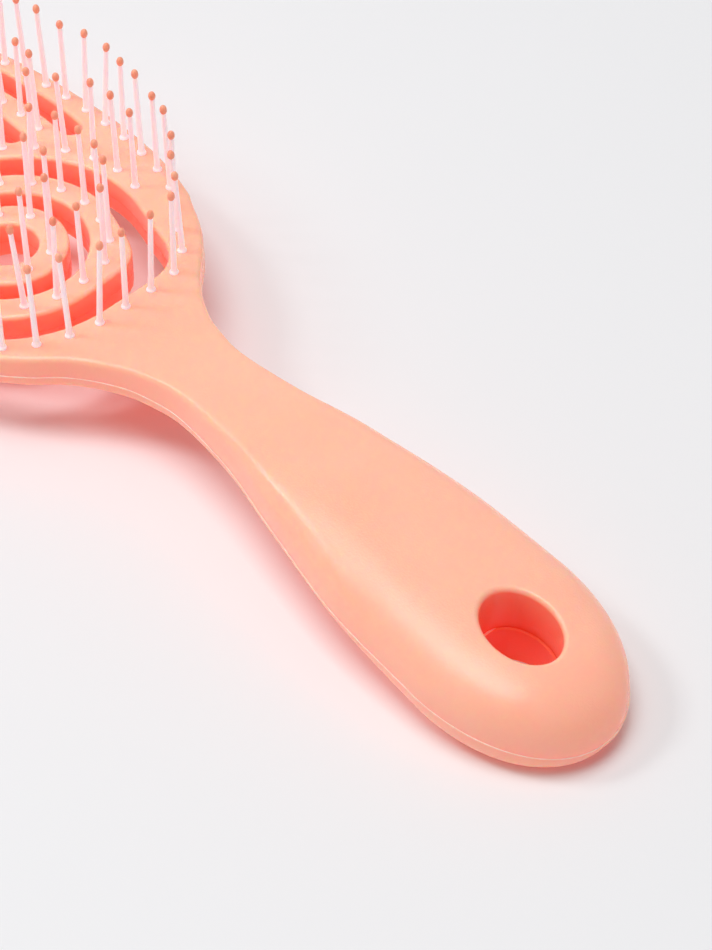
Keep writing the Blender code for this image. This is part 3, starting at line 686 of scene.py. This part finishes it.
def coil_edge(share_at, start, end):
    """Points along one edge, close enough that the chords stay within the tolerance."""
    points, degrees = [], start
    while degrees < end:
        share = share_at(degrees)
        points.append(coil_point(degrees, share))
        degrees += math.degrees(math.sqrt(8.0 * CURVE_TOLERANCE / (share * WINDOW_X)))
    return points + [coil_point(end, share_at(end))]


def half_turn(start, end, bulge):
    """Round nose between two points, on the side that bulge points to."""
    middle = (Vector(start) + Vector(end)) / 2.0
    arm = Vector(start) - middle
    out = Vector(bulge).normalized() * arm.length
    turns = [math.pi * k / NOSE_STEPS for k in range(1, NOSE_STEPS)]
    return [tuple(middle + arm * math.cos(turn) + out * math.sin(turn)) for turn in turns]


def coil_slot_outline():
    outer = coil_edge(coil_outer, COIL_START, COIL_END + EYE_SWEEP)
    inner = coil_edge(coil_inner, COIL_START, COIL_END)
    ahead = Vector(inner[-1]) - Vector(inner[-2])
    back = Vector(inner[0]) - Vector(inner[1])
    band_end = half_turn(outer[-1], inner[-1], ahead)
    nose = half_turn(inner[0], outer[0], back)
    return outer + band_end + inner[::-1] + nose


slots = [coil_slot_outline()]
print("coil's slot", len(slots[0]), "points")

# %% Paths and ribbons
PATH_STEPS_PER_DEGREE = 2.0


def dense_path(point_at, start, end):
    """Points at every half degree or so, for measuring lengths along a curve."""
    steps = round((end - start) * PATH_STEPS_PER_DEGREE)
    return [point_at(start + (end - start) * k / steps) for k in range(steps + 1)]


def path_lengths(path):
    lengths = [0.0]
    for a, b in zip(path, path[1:]):
        lengths.append(lengths[-1] + math.dist(a, b))
    return lengths


def point_along(path, lengths, distance):
    """Point and heading at a distance along a path."""
    distance = min(max(distance, 0.0), lengths[-1])
    i = min(max(bisect.bisect_left(lengths, distance), 1), len(path) - 1)
    t = (distance - lengths[i - 1]) / (lengths[i] - lengths[i - 1])
    (ax, ay), (bx, by) = path[i - 1], path[i]
    return (ax + (bx - ax) * t, ay + (by - ay) * t), math.atan2(by - ay, bx - ax)


def ribbon_outline(path, start, end, width, step, nose_steps):
    """Outline of a ribbon of one width that follows part of a path."""
    lengths = path_lengths(path)
    count = max(2, round((end - start) / step))
    stops = [start + (end - start) * k / count for k in range(count + 1)]

    def offset(distance, swing):
        (x, y), heading = point_along(path, lengths, distance)
        return (x + math.cos(heading + swing) * width / 2.0,
                y + math.sin(heading + swing) * width / 2.0)

    quarter = math.pi / 2.0
    turns = [1.0 - 2.0 * k / nose_steps for k in range(1, nose_steps)]
    return ([offset(stop, quarter) for stop in stops]
            + [offset(end, quarter * turn) for turn in turns]
            + [offset(stop, -quarter) for stop in reversed(stops)]
            + [offset(start, quarter * (turn - 2.0)) for turn in turns])


print("path helpers ready")

# %% Arched slots
ARCH_SLOT_WIDTH = 0.0037
ARCH_WIDTHS = (1.0, 0.6896, 0.379)
ARCH_TOPS = (1.0, 0.8355, 0.671)
ARCH_SHOULDERS = (0.117, 0.266, 0.414)
ARCH_LOWER_REACH = 0.748
ARCH_SLOT_DEGREES = ((-18.0, 186.0), (-21.0, 186.0), (-10.0, 190.0))
RIBBON_STEP = 0.0008
ARCH_NOSE_STEPS = 12


def arch_sizes(order):
    """Half width, shoulder height and top of one arched slot, along its middle."""
    return (WINDOW_X * ARCH_WIDTHS[order] - ARCH_SLOT_WIDTH / 2.0,
            HEAD_CENTRE_Y + WINDOW_Y * ARCH_SHOULDERS[order],
            HEAD_CENTRE_Y + WINDOW_Y * ARCH_TOPS[order] - ARCH_SLOT_WIDTH / 2.0)


def arch_point(degrees, half, shoulder, top):
    """Point on a squared oval, whose reach differs above and below the shoulder."""
    angle = math.radians(degrees)
    power = 2.0 / HEAD_SQUARENESS
    across, rise = math.cos(angle), math.sin(angle)
    reach = top - shoulder if rise > 0.0 else ARCH_LOWER_REACH * WINDOW_Y
    return (math.copysign(abs(across) ** power, across) * half,
            shoulder + math.copysign(abs(rise) ** power, rise) * reach)


def arch_slot_outline(order):
    path = dense_path(lambda a: arch_point(a, *arch_sizes(order)),
                      *ARCH_SLOT_DEGREES[order])
    return ribbon_outline(path, 0.0, path_lengths(path)[-1], ARCH_SLOT_WIDTH,
                          RIBBON_STEP, ARCH_NOSE_STEPS)


slots += [arch_slot_outline(order) for order in range(len(ARCH_WIDTHS))]
print("arched slots", [len(outline) for outline in slots[1:]], "points")

# %% [markdown]
# ## Cutting
#
# A Boolean modifier takes one solid out of another, and its exact solver copes with
# many thin walls. Each cutter of a slot is a prism whose levels follow the arch of the
# seam. Its outline spreads near the face, in steps along part of a circle, and that
# leaves the soft moulded edge that catches the light. A Bevel modifier after the cut is
# another way, but this one gives the edge its round shape without a second step.

# %% Cutters
EDGE_RADIUS = 0.0008
EDGE_STEPS = 6
EDGE_SWEEP_DEGREES = 78.0
LAST_SPREAD = EDGE_RADIUS / 20.0
OVERRUN = 0.002


def outline_offset(loop, distance):
    """Closed outline moved outwards along its own corners."""
    area = sum(a[0] * b[1] - b[0] * a[1] for a, b in zip(loop, loop[1:] + loop[:1]))
    turn = math.copysign(1.0, area)
    moved = []
    for before, here, after in zip(loop[-1:] + loop[:-1], loop, loop[1:] + loop[:1]):
        along = (Vector(after) - Vector(before)).normalized()
        moved.append((here[0] + turn * along.y * distance,
                      here[1] - turn * along.x * distance))
    return moved


def edge_levels(face, side):
    """Levels of a cutter that rounds the edge it leaves: (offset, height from the seam)."""
    levels = [(0.0, -side * OVERRUN)]
    for k in range(EDGE_STEPS + 1):
        swing = math.radians(EDGE_SWEEP_DEGREES) * k / EDGE_STEPS
        levels.append((EDGE_RADIUS * (1.0 - math.cos(swing)),
                       side * (face - EDGE_RADIUS * (1.0 - math.sin(swing)))))
    offset, height = levels[-1]
    return levels + [(offset + LAST_SPREAD, height + side * OVERRUN)]


def arched_prism(loop, levels):
    """Mesh data of a prism whose levels follow the arch of the seam."""
    vertices = []
    for distance, height in levels:
        outline = outline_offset(loop, distance) if distance else loop
        vertices += [(x, y, seam_height(y) + height) for x, y in outline]
    count, faces = len(loop), []
    for level in range(len(levels) - 1):
        low, high = level * count, (level + 1) * count
        for i in range(count):
            j = (i + 1) % count
            faces.append((low + i, low + j, high + j, high + i))
    top = (len(levels) - 1) * count
    for a, b, c in tessellate_polygon([[Vector((x, y, 0.0)) for x, y in loop]]):
        faces.append((a, b, c))
        faces.append((top + c, top + b, top + a))
    return vertices, faces


def lathe(rings):
    """Closed mesh data from a stack of rings with as many points each."""
    sides = len(rings[0])
    vertices = [point for one in rings for point in one]
    faces = [tuple(reversed(range(sides)))]
    for level in range(len(rings) - 1):
        low, high = level * sides, (level + 1) * sides
        for i in range(sides):
            j = (i + 1) % sides
            faces.append((low + i, low + j, high + j, high + i))
    top = (len(rings) - 1) * sides
    return vertices, faces + [tuple(range(top, top + sides))]


print("levels of a slot's cutter", len(edge_levels(HEAD_FRONT_DEPTH, 1.0)))

# %% Carving and shading
SHELL_SHARP_DEGREES = 40.0


def shade(piece, sharp_degrees):
    """Smooth shading with sharp corners kept, led by the large faces."""
    mesh = piece.data
    mesh.polygons.foreach_set("use_smooth", [True] * len(mesh.polygons))
    mesh.set_sharp_from_angle(angle=math.radians(sharp_degrees))
    modifier = piece.modifiers.new("even_normals", "WEIGHTED_NORMAL")
    modifier.keep_sharp = True


def carve(piece, cutters):
    """Cut the given mesh data out of a piece, and shade the result smoothly."""
    tools = []
    for vertices, faces in cutters:
        tool = closed_mesh("cutter", vertices, faces)
        modifier = piece.modifiers.new("cut", "BOOLEAN")
        modifier.operation = "DIFFERENCE"
        modifier.solver = "EXACT"
        modifier.object = tool
        tools.append(tool)
    graph = bpy.context.evaluated_depsgraph_get()
    carved = bpy.data.meshes.new_from_object(piece.evaluated_get(graph))
    piece.modifiers.clear()
    piece.data = carved
    for tool in tools:
        bpy.data.objects.remove(tool)
    shade(piece, SHELL_SHARP_DEGREES)


print("corners over", SHELL_SHARP_DEGREES, "degrees stay sharp")

# %% [markdown]
# ## Hanging hole
#
# An oval hole near the butt takes a hook. The face round it is curved, and the edge is
# rounded evenly all the way. So the cutter is a stack of rings, and each ring lies at
# one depth under the face. The hole in the back cover is a little smaller, which
# leaves the thin step that shows inside.

# %% Hanging hole
HOLE_Y = 0.0187
HOLE_WIDTH = 0.0114
HOLE_LENGTH = 0.0145
HOLE_EDGE_RADIUS = 0.0009
BACK_HOLE_EDGE_RADIUS = 0.0003
BACK_HOLE_STEP = 0.0004
HOLE_SIDES = 96
HOLE_EDGE_STEPS = 10
HOLE_SWEEP_DEGREES = 84.0


def crown_height(x, y):
    """Height of the front shell's face over the table."""
    exponent = table_value(FRONT_EXPONENTS, y / HANDLE_LENGTH)
    return seam_height(y) + front_depth(y) * oval_half(x / half_width(y), exponent)


def hole_cutter(shrink, edge, side):
    """Cutter of the hanging hole, which spreads in a rounded edge towards the face."""
    half_x, half_y = HOLE_WIDTH / 2.0 - shrink, HOLE_LENGTH / 2.0 - shrink
    levels = [(None, 0.0)]
    for k in range(HOLE_EDGE_STEPS + 1):
        swing = math.radians(HOLE_SWEEP_DEGREES) * k / HOLE_EDGE_STEPS
        levels.append((edge * (1.0 - math.sin(swing)), edge * (1.0 - math.cos(swing))))
    levels.append((-OVERRUN, levels[-1][1] + LAST_SPREAD))
    inner_end = seam_height(HOLE_Y) - side * OVERRUN
    rings = []
    for depth, grow in levels:
        one = []
        for k in range(HOLE_SIDES):
            angle = 2.0 * math.pi * k / HOLE_SIDES
            x = (half_x + grow) * math.cos(angle)
            y = HOLE_Y + (half_y + grow) * math.sin(angle)
            face = crown_height(x, y) if side > 0 else 0.0
            one.append((x, y, inner_end if depth is None else face - side * depth))
        rings.append(one)
    return lathe(rings)


print("hole", HOLE_WIDTH, "by", HOLE_LENGTH)

# %% Cut both shells
front_cutters = [hole_cutter(0.0, HOLE_EDGE_RADIUS, 1.0)]
front_cutters += [arched_prism(outline, edge_levels(HEAD_FRONT_DEPTH, 1.0))
                  for outline in slots]
carve(front_shell, front_cutters)

under_the_table = lathe([[(x * HEAD_WIDTH, y * BRUSH_LENGTH, z)
                          for x, y in ((-1.0, -0.5), (1.0, -0.5), (1.0, 1.5), (-1.0, 1.5))]
                         for z in (-HEAD_WIDTH, 0.0)])
back_cutters = [hole_cutter(BACK_HOLE_STEP, BACK_HOLE_EDGE_RADIUS, -1.0)]
back_cutters += [arched_prism(outline, edge_levels(HEAD_BACK_DEPTH, -1.0))
                 for outline in slots]
back_cutters.append(under_the_table)
carve(back_shell, back_cutters)
print("cut", len(front_cutters), "and", len(back_cutters), "solids out of the shells")

# %% [markdown]
# ## Painted shade and red glow in the walls
#
# The coral finish above reads two stored values, painted shade and a painted red glow. They
# could be painted on by hand, but both follow from how deep a point lies under the front
# face: the first deepens the colour in the slots and in the hole as painted shade, and the
# second says how much painted red light shows there. Points near the outline are left out, or
# the outer wall would count as deep.

# %% Painted recess shade and glow
RECESS_SHADE_DEPTH = 0.0020
SLOT_RECESS_SHADE = 0.52
HOLE_RECESS_SHADE = 1.0
FACE_PAINTED_GLOW = 0.17
SLOT_PAINTED_GLOW = 0.20
HOLE_PAINTED_GLOW = 0.11
OUTER_WALL = 0.0015
OUTER_WALL_BLEND = 0.001
FACE_SKIN = 0.0001
LEAST_HALF_WIDTH = 0.001


def paint_recess_shade_and_glow(piece):
    """Store the painted shade deep in a slot or the hole, and the painted red glow at each
    point.
    """
    mesh = piece.data
    recess_shade, painted_glow = [], []
    for vertex in mesh.vertices:
        x, y, z = vertex.co
        y += BRUSH_LENGTH / 2.0
        width = half_width(y)
        inside = smooth((width - abs(x) - OUTER_WALL) / OUTER_WALL_BLEND)
        crown = crown_height(x, y) if width > LEAST_HALF_WIDTH else z
        # Amount of painted shade and of painted glow for a wall, in the hole or in the slots.
        share, wall_painted_glow = ((HOLE_RECESS_SHADE, HOLE_PAINTED_GLOW) if y < HANDLE_LENGTH
                            else (SLOT_RECESS_SHADE, SLOT_PAINTED_GLOW))
        deep = inside * smooth((crown - z - FACE_SKIN) / RECESS_SHADE_DEPTH)
        recess_shade.append(share * deep)
        painted_glow.append(FACE_PAINTED_GLOW + (wall_painted_glow - FACE_PAINTED_GLOW) * deep)
    for name, values in (("recess_shade", recess_shade), ("painted_glow", painted_glow)):
        mesh.attributes.new(name, "FLOAT", "POINT").data.foreach_set("value", values)
    print(piece.name, "deep points", sum(v > 0.5 for v in recess_shade))


for piece, node, finish, slot in (
        (front_shell, "front_frame", front_coral, "coral_plastic"),
        (back_shell, "back_cover", back_coral, "coral_back_plastic")):
    paint_recess_shade_and_glow(piece)
    piece.data.materials.clear()
    piece.data.materials.append(finish)
    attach(piece, "root")
    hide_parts(node)
    print(piece.name, len(piece.data.polygons), "faces")

# %% [markdown]
# ## Seam line
#
# Where two moulds close, a hair of plastic squeezes out, and the edge of each shell is left a
# little pale and raised. It is the thin light line round the handle. It could be a stripe in
# the plastic's colour, but a raised line also catches the light. So a closed tube about a
# quarter of a millimetre thick runs round the whole outline at the height of the seam, and
# its radius wanders a little. A faint painted glow in its finish makes the line brighter
# still.

# %% Seam line
BEAD_RADIUS = 0.00014
BEAD_THINNEST, BEAD_THICKEST = 0.75, 1.15
BEAD_SIDES = 6
BEAD_SEED = 3
BEAD_SHARP_DEGREES = 80.0


def seam_bead():
    """Mesh data of a closed thin tube that follows the outline at the seam."""
    wander = random.Random(BEAD_SEED)
    near = [(-half_width(y), y) for y in stations()[1:-1]]
    far = [(-x, y) for x, y in reversed(near)]
    loop = near + [(0.0, BRUSH_LENGTH)] + far + [(0.0, 0.0)]
    vertices, faces = [], []
    for i, (x, y) in enumerate(loop):
        before, after = loop[i - 1], loop[(i + 1) % len(loop)]
        out = Vector((before[1] - after[1], after[0] - before[0])).normalized()
        radius = BEAD_RADIUS * wander.uniform(BEAD_THINNEST, BEAD_THICKEST)
        for k in range(BEAD_SIDES):
            turn = 2.0 * math.pi * k / BEAD_SIDES
            reach = radius * math.cos(turn)
            vertices.append((x + out.x * reach, y + out.y * reach,
                             seam_height(y) + radius * math.sin(turn)))
    for i in range(len(loop)):
        low, high = i * BEAD_SIDES, (i + 1) % len(loop) * BEAD_SIDES
        for k in range(BEAD_SIDES):
            j = (k + 1) % BEAD_SIDES
            faces.append((low + k, low + j, high + j, high + k))
    return vertices, faces


bead = closed_mesh("seam_line", *seam_bead())
print("seam line", len(bead.data.polygons), "faces")

# %% Finish of the seam line
BEAD_COLOUR = (1.0, 0.66, 0.52)
BEAD_PALE = (1.0, 0.78, 0.67)
BEAD_PATCH_SCALE = 700.0
BEAD_LOW, BEAD_HIGH = 0.4, 0.65

# The emission in this finish is painted light, a faint glow that brightens the seam line.
bead_finish = Finish("seam_plastic", {
    "Roughness": 0.3, "Subsurface Weight": 0.6, "Subsurface Radius": CORAL_SCATTER,
    "Subsurface Scale": 0.001, "Emission Color": (0.14, 0.07, 0.05, 1.0),
    "Emission Strength": 1.0})
bead_tone = bead_finish.spread(bead_finish.noise(BEAD_PATCH_SCALE), BEAD_LOW, BEAD_HIGH)
bead_finish.shade("Base Color", bead_finish.blend(bead_tone, BEAD_COLOUR, BEAD_PALE))
bead.data.materials.append(bead_finish.material)
shade(bead, BEAD_SHARP_DEGREES)
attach(bead, "root")
print("seam finish", bead_finish.material.name)

# %% [markdown]
# ## Pins
#
# The pins are moulded in short strips that lie under the bands. Each pin comes up
# through its hole with a small collar, tapers to a thin neck and ends in a ball, which
# is taller than it is wide. They could be copies of one pin, but real pins never stand
# quite alike, so each is built with a small lean of its own. The balls are a piece of
# their own for each row, because their colour is another.

# %% Rows of pins
RIM_ROW_DEGREES = (-92.0, 268.0)
COIL_ROW_DEGREES = (-12.0, 793.0)
ARCH_ROW_DEGREES = ((-20.0, 187.0), (-9.0, 187.0))
TONGUE_SHARES = (0.32, 0.53)
STRIP_WIDTH = 0.0023
STRIP_CLEARANCE = 0.0003
GROOVE_WALL = 0.0007
HEEL_START_SHARE = 0.5


def rim_row_point(degrees):
    """Row of pins along the middle of the rim, and round the outside of the coil."""
    angle = math.radians(degrees)
    power = 2.0 / HEAD_SQUARENESS
    across, rise = math.cos(angle), math.sin(angle)
    inset = (RIM_WIDTH + (TIP_RIM_WIDTH - RIM_WIDTH) * max(rise, 0.0)) / 2.0
    x = math.copysign(abs(across) ** power, across) * (HEAD_WIDTH / 2.0 - inset)
    y = HEAD_CENTRE_Y + math.copysign(abs(rise) ** power, rise) * (HEAD_LENGTH / 2.0 - inset)
    coil_x = x / WINDOW_X - COIL_X
    coil_y = ((y - HEAD_CENTRE_Y) / WINDOW_Y - COIL_Y) / COIL_HEIGHT
    bearing = math.degrees(math.atan2(coil_y, coil_x)) % 360.0
    share = math.hypot(coil_x, coil_y)
    groove = (STRIP_WIDTH / 2.0 + STRIP_CLEARANCE + GROOVE_WALL) / WINDOW_X
    heel = smooth(-rise / HEEL_START_SHARE - 1.0)
    share += (coil_outer(bearing) + groove - share) * heel
    return coil_point(bearing, share)


def coil_row_point(degrees):
    """Middle of the coiled band: between one turn of the slot and the next."""
    return coil_point(degrees, (coil_inner(degrees) + coil_outer(degrees + 360.0)) / 2.0)


def arch_row(order):
    """Path along the middle of the band between one arched slot and the next."""
    sizes = [(a + b) / 2.0 for a, b in zip(arch_sizes(order), arch_sizes(order + 1))]
    return dense_path(lambda a: arch_point(a, *sizes), *ARCH_ROW_DEGREES[order])


def tongue_row(side):
    """Short straight row on the tongue inside the innermost arch."""
    x = side * (arch_sizes(2)[0] - ARCH_SLOT_WIDTH / 2.0) / 2.0
    return [(x, HEAD_CENTRE_Y + WINDOW_Y * share) for share in TONGUE_SHARES]


pin_rows = (
    ("rim", dense_path(rim_row_point, *RIM_ROW_DEGREES), 9),
    ("coil", dense_path(coil_row_point, *COIL_ROW_DEGREES), 8),
    ("outer_arch", arch_row(0), 5),
    ("inner_arch", arch_row(1), 3),
    ("tongue_right", tongue_row(1.0), 1),
    ("tongue_left", tongue_row(-1.0), 1),
)
print("rows", [name for name, _, _ in pin_rows])

# %% Strips of a row
PIN_PITCH = 0.0058
STRIP_END_MARGIN = 0.0016


def strips(path, groups):
    """Pin distances of each strip in a row, with the pins at an even pitch."""
    length = path_lengths(path)[-1]
    usable = length - 2.0 * STRIP_END_MARGIN
    closed = math.dist(path[0], path[-1]) < PIN_PITCH / 2.0
    pins = round((length if closed else usable + PIN_PITCH) / PIN_PITCH)
    pitch = length / pins if closed else usable / (pins - 1)
    first = pitch / 2.0 if closed else STRIP_END_MARGIN
    result, made = [], 0
    for group in range(groups):
        count = (pins - made) // (groups - group)
        result.append([first + pitch * (made + k) for k in range(count)])
        made += count
    return result


print("pins on the rim", sum(len(places) for places in strips(*pin_rows[0][1:])))

# %% One pin and its ball
PIN_HEIGHT = 0.0181
PIN_ROOT_DIAMETER = 0.00108
PIN_NECK_DIAMETER = 0.00085
PIN_BALL_DIAMETER = 0.0013
PIN_BOSS_DIAMETER = 0.0017
PIN_BOSS_HEIGHT = 0.0005
COLLAR_SHAPE = ((0.15, 1.0), (0.55, 0.9), (0.85, 0.72))
COLLAR_END, COLLAR_END_WIDTH = 0.0002, 1.03
STRIP_THICKNESS = 0.0022
GROOVE_ROOF = 0.0016
STRIP_TOP = HEAD_FRONT_DEPTH - GROOVE_ROOF - STRIP_CLEARANCE
SHAFT_SIDES = 12
SHAFT_STEPS = 8
BALL_SIDES = 16
BALL_RINGS = 9
BALL_HEIGHT_SHARE = 1.45
BALL_POLE_SHARE = 0.06


def round_stack(profile, sides, centre_at):
    """Closed mesh data from heights and radii about a leaning centre line."""
    rings = []
    for z, radius in profile:
        x, y = centre_at(z)
        rings.append([(x + radius * math.cos(2.0 * math.pi * k / sides),
                       y + radius * math.sin(2.0 * math.pi * k / sides), z)
                      for k in range(sides)])
    return lathe(rings)


def pin_and_ball(place, lean):
    x, y = place
    top = seam_height(y) + HEAD_FRONT_DEPTH
    boss, tip = top + PIN_BOSS_HEIGHT, top + PIN_HEIGHT
    ball, boss_radius = PIN_BALL_DIAMETER / 2.0, PIN_BOSS_DIAMETER / 2.0
    root, neck = PIN_ROOT_DIAMETER / 2.0, PIN_NECK_DIAMETER / 2.0

    def centre_at(z):
        share = max(0.0, (z - boss) / (tip - boss))
        return x + lean[0] * share, y + lean[1] * share

    profile = [(seam_height(y) + STRIP_TOP - STRIP_THICKNESS / 3.0, boss_radius)]
    profile += [(top + height * PIN_BOSS_HEIGHT, width * boss_radius)
                for height, width in COLLAR_SHAPE]
    profile.append((boss + COLLAR_END, COLLAR_END_WIDTH * root))
    shaft_top = tip - ball
    for k in range(1, SHAFT_STEPS + 1):
        share = k / SHAFT_STEPS
        profile.append((boss + (shaft_top - boss) * share, root + (neck - root) * share))
    reach = ball * BALL_HEIGHT_SHARE
    globe = []
    for k in range(BALL_RINGS + 1):
        swing = math.pi * (k / BALL_RINGS - 0.5)
        globe.append((tip - reach + reach * math.sin(swing),
                      max(ball * math.cos(swing), ball * BALL_POLE_SHARE)))
    return (round_stack(profile, SHAFT_SIDES, centre_at),
            round_stack(globe, BALL_SIDES, centre_at))


print("a pin stands", PIN_HEIGHT, "m over its band")

# %% Strips with their pins
PIN_LEAN = 0.0009
LEAN_SEED = 7
BED_NOSE_STEPS = 2
PIN_SHARP_DEGREES = 50.0
BALL_SHARP_DEGREES = 60.0


def joined(name, parts):
    vertices, faces = [], []
    for part_vertices, part_faces in parts:
        base = len(vertices)
        vertices += part_vertices
        faces += [tuple(base + i for i in face) for face in part_faces]
    return closed_mesh(name, vertices, faces)


def dress(piece, finish, sharp_degrees):
    piece.data.materials.append(finish)
    shade(piece, sharp_degrees)
    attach(piece, "root")


leans = random.Random(LEAN_SEED)
pin_total = 0
for row, path, groups in pin_rows:
    lengths = path_lengths(path)
    balls = []
    for group, places in enumerate(strips(path, groups)):
        start, end = places[0] - STRIP_END_MARGIN, places[-1] + STRIP_END_MARGIN
        bed = ribbon_outline(path, start, end, STRIP_WIDTH, RIBBON_STEP, BED_NOSE_STEPS)
        bed_levels = ((0.0, STRIP_TOP - STRIP_THICKNESS), (0.0, STRIP_TOP))
        parts = [arched_prism(bed, bed_levels)]
        for distance in places:
            place, _ = point_along(path, lengths, distance)
            lean = [leans.uniform(-PIN_LEAN, PIN_LEAN) for _ in range(2)]
            pin, ball = pin_and_ball(place, lean)
            parts.append(pin)
            balls.append(ball)
        label = f"pin_strip_{row}_{group + 1:02d}" if groups > 1 else f"pin_strip_{row}"
        strip = joined(f"pins_{row}_{group + 1:02d}", parts)
        dress(strip, pin_nylon, PIN_SHARP_DEGREES)
        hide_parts(label)
    tips = joined(f"ball_tips_{row}", balls)
    dress(tips, tip_nylon, BALL_SHARP_DEGREES)
    pin_total += len(balls)
print("pins", pin_total)
